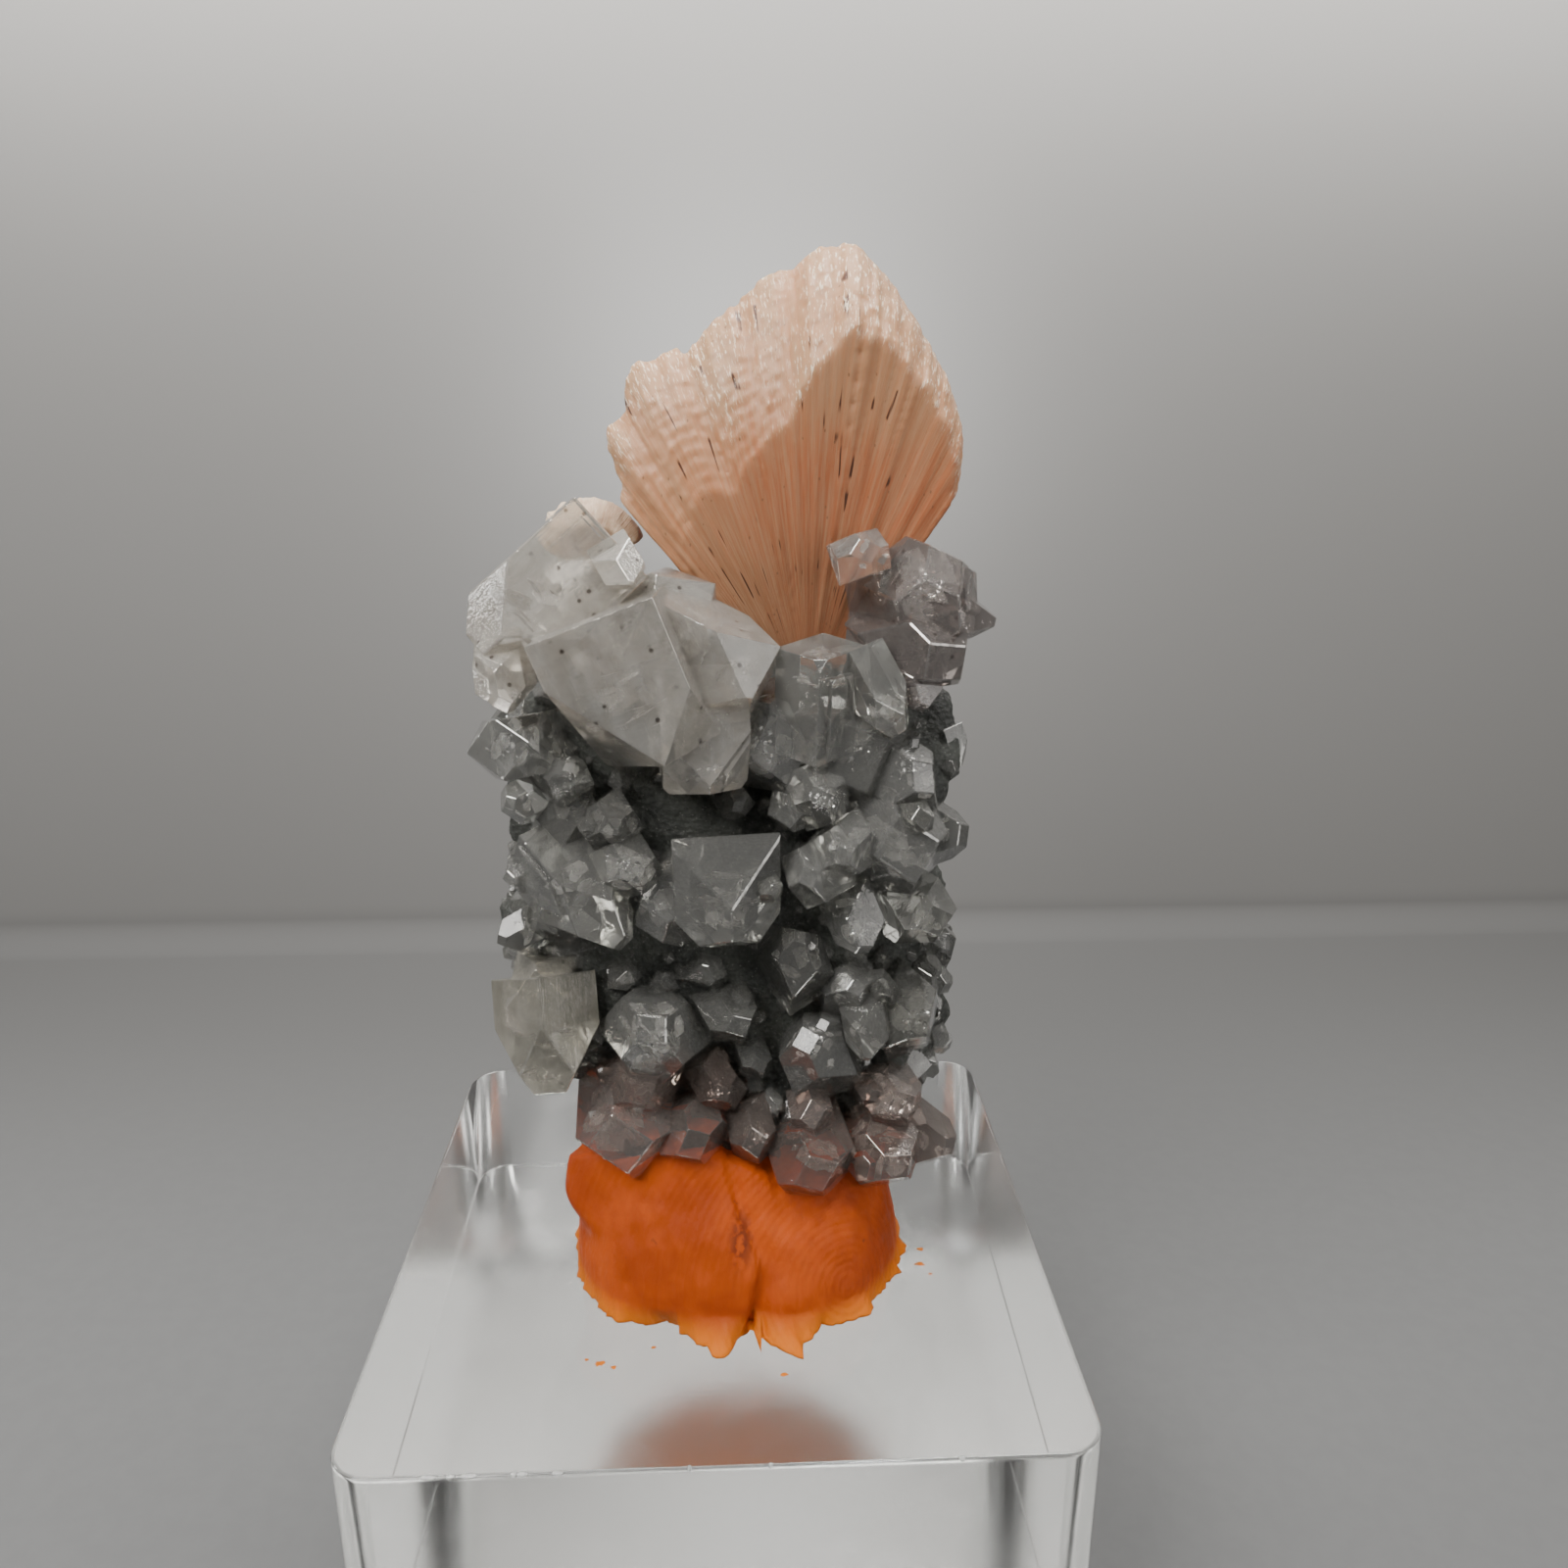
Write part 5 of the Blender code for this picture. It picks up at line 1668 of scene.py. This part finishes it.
@dataclass
class AcrylicBlock:
    """The clear block, with rounded uprights and fine worn edges."""

    side: float = 50.8
    height: float = BLOCK_HEIGHT
    corner_radius: float = 3.0
    corner_segments: int = 12
    edge_segments: int = 3
    edge: float = 0.3
    foot_edge: float = 0.06
    chip_size: Point = (0.5, 0.225, 0.175)
    chip_place: Span = (0.26, 0.2)
    chip_seed: int = 3
    chip_raggedness: Span = (0.7, 1.0)
    ior: float = 1.49
    frosting: float = 0.12
    chips: Curve = (
        (-18.6, 1.1), (-17.2, 0.6), (-16.0, 1.4), (-13.2, 0.4), (-12.6, 0.8), (-10.4, 1.0),
        (-2.0, 0.3), (3.2, 0.4), (15.6, 0.5),
    )

    def build(self) -> bpy.types.Object:
        """Round the uprights and soften the other edges of a box.

        Returns:
            The block as one piece.
        """
        bm = bmesh.new()
        bmesh.ops.create_cube(bm, size=1.0)
        bmesh.ops.scale(bm, vec=(self.side, self.side, self.height), verts=bm.verts)
        bmesh.ops.translate(bm, vec=(0.0, 0.0, self.height / 2.0), verts=bm.verts)
        uprights = [edge for edge in bm.edges
                    if abs(edge.verts[0].co.z - edge.verts[1].co.z) > self.height / 2.0]
        round_off(bm, uprights, self.corner_radius, self.corner_segments)
        for level, wear_and_highlight in ((self.height, self.edge), (0.0, self.foot_edge)):
            rim = [edge for edge in bm.edges
                   if all(abs(vertex.co.z - level) < wear_and_highlight / 2.0 for vertex in edge.verts)]
            round_off(bm, rim, wear_and_highlight, self.edge_segments)
        for face in bm.faces:
            face.smooth = face.calc_area() < self.height
        return to_piece("clear_block", bm)

    def dress(self, piece: bpy.types.Object, chips: bpy.types.Object) -> None:
        """Give the block its rubbed polish and silvered underside, and dress the chips.

        Args:
            piece: the block.
            chips: the broken faces at its edge.
        """
        mixing = Recipe("acrylic")
        place = mixing.millimetres()
        height = mixing.add("ShaderNodeSeparateXYZ", {0: place}).outputs["Z"]
        rubbed_and_highlight = mixing.stretch(place, (1.0, 1.0, 2.0))
        rubbed_and_highlight = mixing.noise(rubbed_and_highlight, scale=0.12, detail=5.0, roughness=0.7, distortion=0.5)
        scratches = mixing.stretch(place, (0.15, 6.0, 1.0))
        scratches = mixing.noise(scratches, scale=0.8, detail=2.0, distortion=1.5)
        polish = mixing.span(rubbed_and_highlight, 0.40, 0.75, start=0.05, finish=0.11)
        backing = mixing.span(height, 0.05, 0.08, start=1.0, finish=0.0)
        frosting = mixing.math("MULTIPLY", backing, self.frosting)
        mixing.set(Base_Color=(0.96, 0.965, 0.96, 1.0), IOR=self.ior, Metallic=backing,
                   Transmission_Weight=0.97, Roughness=mixing.math("ADD", polish, frosting),
                   Normal=mixing.relief((scratches, 0.002)))
        mixing.absorb((0.90, 0.92, 0.91), 2.0)
        hand_over(piece, mixing.material, "acrylic", "acrylic_block")
        frost = Recipe("chipped_acrylic")
        spot = frost.millimetres()
        grit = frost.noise(spot, scale=3.0)
        gloss = frost.span(grit, 0.3, 0.7, start=0.2, finish=0.5)
        frost.set(Base_Color=frost.mix(grit, (0.75, 0.76, 0.76), (0.92, 0.92, 0.91)),
                  Roughness=gloss, Transmission_Weight=0.3, IOR=self.ior)
        hand_over(chips, frost.material, "acrylic")

    def build_chips(self) -> bpy.types.Object:
        """Break a few small chips out of the upper front edge.

        Returns:
            The chips' pale broken faces as one piece.
        """
        bm = bmesh.new()
        chance = random.Random(self.chip_seed)
        for x, length in self.chips:
            chip = bmesh.ops.create_icosphere(bm, subdivisions=1, radius=1.0)["verts"]
            for vertex in chip:
                vertex.co *= chance.uniform(*self.chip_raggedness)
            size = self.chip_size
            bmesh.ops.scale(bm, vec=(length * size[0], size[1], size[2]), verts=chip)
            inward, down = self.chip_place
            bmesh.ops.translate(bm, vec=(x, inward - self.side / 2.0, self.height - down),
                                verts=chip)
        return to_piece("edge_chips", bm)


@dataclass
class Studio:
    """The floor with its wall, the lamps, the room's light and the camera."""

    lens: float = 28.215
    sensor: float = 36.0
    eye: Point = (1.345, -88.03, 89.99)
    pitch: float = 16.82
    heading: float = 2.474
    nearest: float = 0.005
    floor_half: float = 900.0
    floor_front: float = -700.0
    floor_back: float = 110.0
    floor_level: float = -0.05
    sweep_radius: float = 5.0
    sweep_steps: int = 16
    wall_height: float = 1200.0
    floor_colours: tuple[Colour, Colour] = ((0.136, 0.138, 0.139), (0.141, 0.143, 0.144))
    # Painted shade: the floor darkens to this colour towards the wall
    painted_far_shade: Colour = (0.108, 0.108, 0.107)
    wall_colour: Colour = (0.172, 0.170, 0.166)
    lamps: tuple = (
        ("key", (-110.0, -120.0, 235.0), (0.0, 0.0, 60.0), (130.0, 130.0), 0.80, WARM),
        ("fill", (230.0, -170.0, 150.0), (0.0, 0.0, 60.0), (220.0, 220.0), 0.46, WARM),
        ("rim", (50.0, 60.0, 300.0), (0.0, 0.0, 70.0), (120.0, 120.0), 0.38, WARM),
        ("glint", (40.0, -110.0, 300.0), (0.0, 0.0, 60.0), (26.0, 26.0), 0.20, WHITE),
        ("side_glint", (-220.0, 20.0, 110.0), (0.0, 0.0, 60.0), (34.0, 34.0), 0.10, WHITE),
        ("wall_wash", (24.0, 75.0, 162.0), (24.0, 120.0, 173.0), (320.0, 24.0), 0.36, WARM),
        ("high_wash", (0.0, 40.0, 330.0), (0.0, 115.0, 260.0), (360.0, 80.0), 1.3, WARM),
        ("back_glow", (6.0, 84.0, 95.0), (6.0, 115.0, 95.0), (44.0, 44.0), 0.045, WHITE),
    )
    room_colour: Colour = (0.64, 0.64, 0.63)
    room_light: float = 0.26

    def camera(self) -> None:
        """Stand the camera where the photo was taken from."""
        down, turn = math.radians(self.pitch), math.radians(self.heading)
        ahead = Vector((math.sin(turn), math.cos(turn), 0.0))
        right = Vector((math.cos(turn), -math.sin(turn), 0.0))
        look = ahead * math.cos(down) - Vector((0.0, 0.0, math.sin(down)))
        up = ahead * math.sin(down) + Vector((0.0, 0.0, math.cos(down)))
        data = bpy.data.cameras.new("camera")
        data.lens = self.lens
        data.sensor_width = self.sensor
        data.sensor_fit = "HORIZONTAL"
        data.clip_start = self.nearest
        item = bpy.data.objects.new("camera", data)
        item.matrix_world = (Matrix.Translation(Vector(self.eye) * MM)
                             @ Matrix((right, up, -look)).transposed().to_4x4())
        bpy.context.scene.collection.objects.link(item)
        bpy.context.scene.camera = item

    def lamp(self, name: str, place: Point, aim: Point, size: Span, power: float,
             colour: Colour) -> None:
        """Hang one soft oblong lamp.

        Args:
            name: its name.
            place: where it hangs, in millimetres.
            aim: the point that it looks at.
            size: its breadth and its height.
            power: its power in watts.
            colour: the colour of its light.
        """
        data = bpy.data.lights.new(name, "AREA")
        data.shape = "RECTANGLE"
        data.size, data.size_y = size[0] * MM, size[1] * MM
        data.energy = power
        data.color = colour
        item = bpy.data.objects.new(name, data)
        item.location = Vector(place) * MM
        item.rotation_euler = (Vector(aim) - Vector(place)).to_track_quat("-Z", "Y").to_euler()
        item.visible_camera = False
        bpy.context.scene.collection.objects.link(item)

    def floor(self) -> None:
        """Lay the pale floor, painted darker towards the back, and sweep it up into a wall that
        hides nothing from behind.
        """
        bm = bmesh.new()
        front = Vector((0.0, self.floor_front, self.floor_level))
        corners = [bmesh.ops.create_vert(bm, co=front + Vector((x, 0.0, 0.0)))["vert"][0]
                   for x in (-self.floor_half, self.floor_half)]
        edge = bmesh.ops.contextual_create(bm, geom=corners)["edges"]
        stations = []
        for step in range(self.sweep_steps + 1):
            turn = math.radians(90.0 * step / self.sweep_steps)
            stations.append(Vector((
                0.0, self.floor_back + self.sweep_radius * math.sin(turn),
                self.floor_level + self.sweep_radius * (1.0 - math.cos(turn)))))
        stations.append(stations[-1] + Vector((0.0, 0.0, self.wall_height)))
        for station in stations:
            moved, edge = draw_out(bm, edge)
            bmesh.ops.translate(bm, vec=station - front, verts=moved)
            front = station
        for face in bm.faces:
            face.smooth = True
        piece = to_piece("floor", bm)
        mixing = Recipe("floor_paint")
        place = mixing.millimetres()
        speck = mixing.noise(place, scale=0.5, detail=4.0, roughness=0.6)
        ground = mixing.mix(mixing.span(speck, 0.35, 0.65), *self.floor_colours)
        parts = mixing.add("ShaderNodeSeparateXYZ", {0: place}).outputs
        # Painted shade: darker from 15 to 105 mm behind the specimen, as if the light fell off
        # towards the wall
        ground = mixing.mix(mixing.span(parts["Y"], 15.0, 105.0), ground, self.painted_far_shade)
        colour = mixing.mix(mixing.span(parts["Z"], 0.0, 8.0), ground, self.wall_colour)
        mixing.set(Base_Color=colour, Roughness=0.85, Specular_IOR_Level=0.2)
        behind = mixing.add("ShaderNodeNewGeometry").outputs["Backfacing"]
        clear = mixing.add("ShaderNodeBsdfTransparent").outputs[0]
        one_sided = mixing.add("ShaderNodeMixShader", {
            0: behind, 1: mixing.shader.outputs[0], 2: clear}).outputs[0]
        mixing.feed(mixing.output.inputs["Surface"], one_sided)
        if piece.data.polygons[0].normal.z < 0.0:
            piece.data.flip_normals()
        piece.data.materials.append(mixing.material)

    def light(self) -> None:
        """Hang the lamps and fill the room with an even light."""
        for lamp in self.lamps:
            self.lamp(*lamp)
        world = bpy.data.worlds.new("room")
        world.use_nodes = True
        inputs = world.node_tree.nodes["Background"].inputs
        inputs["Color"].default_value = (*self.room_colour, 1.0)
        inputs["Strength"].default_value = self.room_light
        bpy.context.scene.world = world


def apophyllite_groups() -> tuple[ApophylliteGroup, ...]:
    """List the groups of crystals, about from the top down.

    Returns:
        One group for each solid.
    """
    clear, milky = Clarity.CLEAR, Clarity.MILKY
    rows = (
        ("upper_left", UPPER_LEFT, milky), ("back_bank", BACK_BANK, milky),
        ("upper_right", UPPER_RIGHT, Clarity.SMOKY), ("sheaf_bud", SHEAF_BUD, clear),
        ("right_bank", RIGHT_BANK, clear), ("left_bank", LEFT_BANK, clear),
        ("middle_band", MIDDLE_BAND, clear), ("lower_left", LOWER_LEFT, Clarity.PALE),
        ("lower_band", LOWER_BAND, clear), ("lower_centre", LOWER_CENTRE, clear),
        ("foot_band", FOOT_BAND, Clarity.BROWNISH),
    )
    return tuple(ApophylliteGroup(f"crystals_{name}", f"apophyllite_{name}", crystals,
                                  clarity, FIRST_SEED + number)
                 for number, (name, crystals, clarity) in enumerate(rows))


def main() -> None:
    """Build the studio and every sub-assembly in order."""
    logging.basicConfig(level=logging.INFO, format="%(name)s %(message)s")
    studio = Studio()
    studio.camera()
    studio.light()
    studio.floor()
    block = AcrylicBlock()
    block.dress(block.build(), block.build_chips())
    putty = MountingPutty()
    putty.dress(putty.build(), putty.build_smears())
    glasses = {clarity: clarity.value.make() for clarity in Clarity}
    matrix = BasaltMatrix()
    rock = matrix.build_rock()
    matrix.dress(rock, matrix.build_druse(rock), glasses[Clarity.CLEAR])
    groups = apophyllite_groups()
    for group in groups:
        group.dress(group.build(), glasses[group.clarity])
    veils = InnerVeils(groups)
    veils.dress(veils.build_cracks(), veils.build_glints())
    for fan in (StilbiteSheaf(), StilbiteKnob()):
        fan.dress(fan.build(), fan.fibres())


if __name__ == "__main__":
    main()
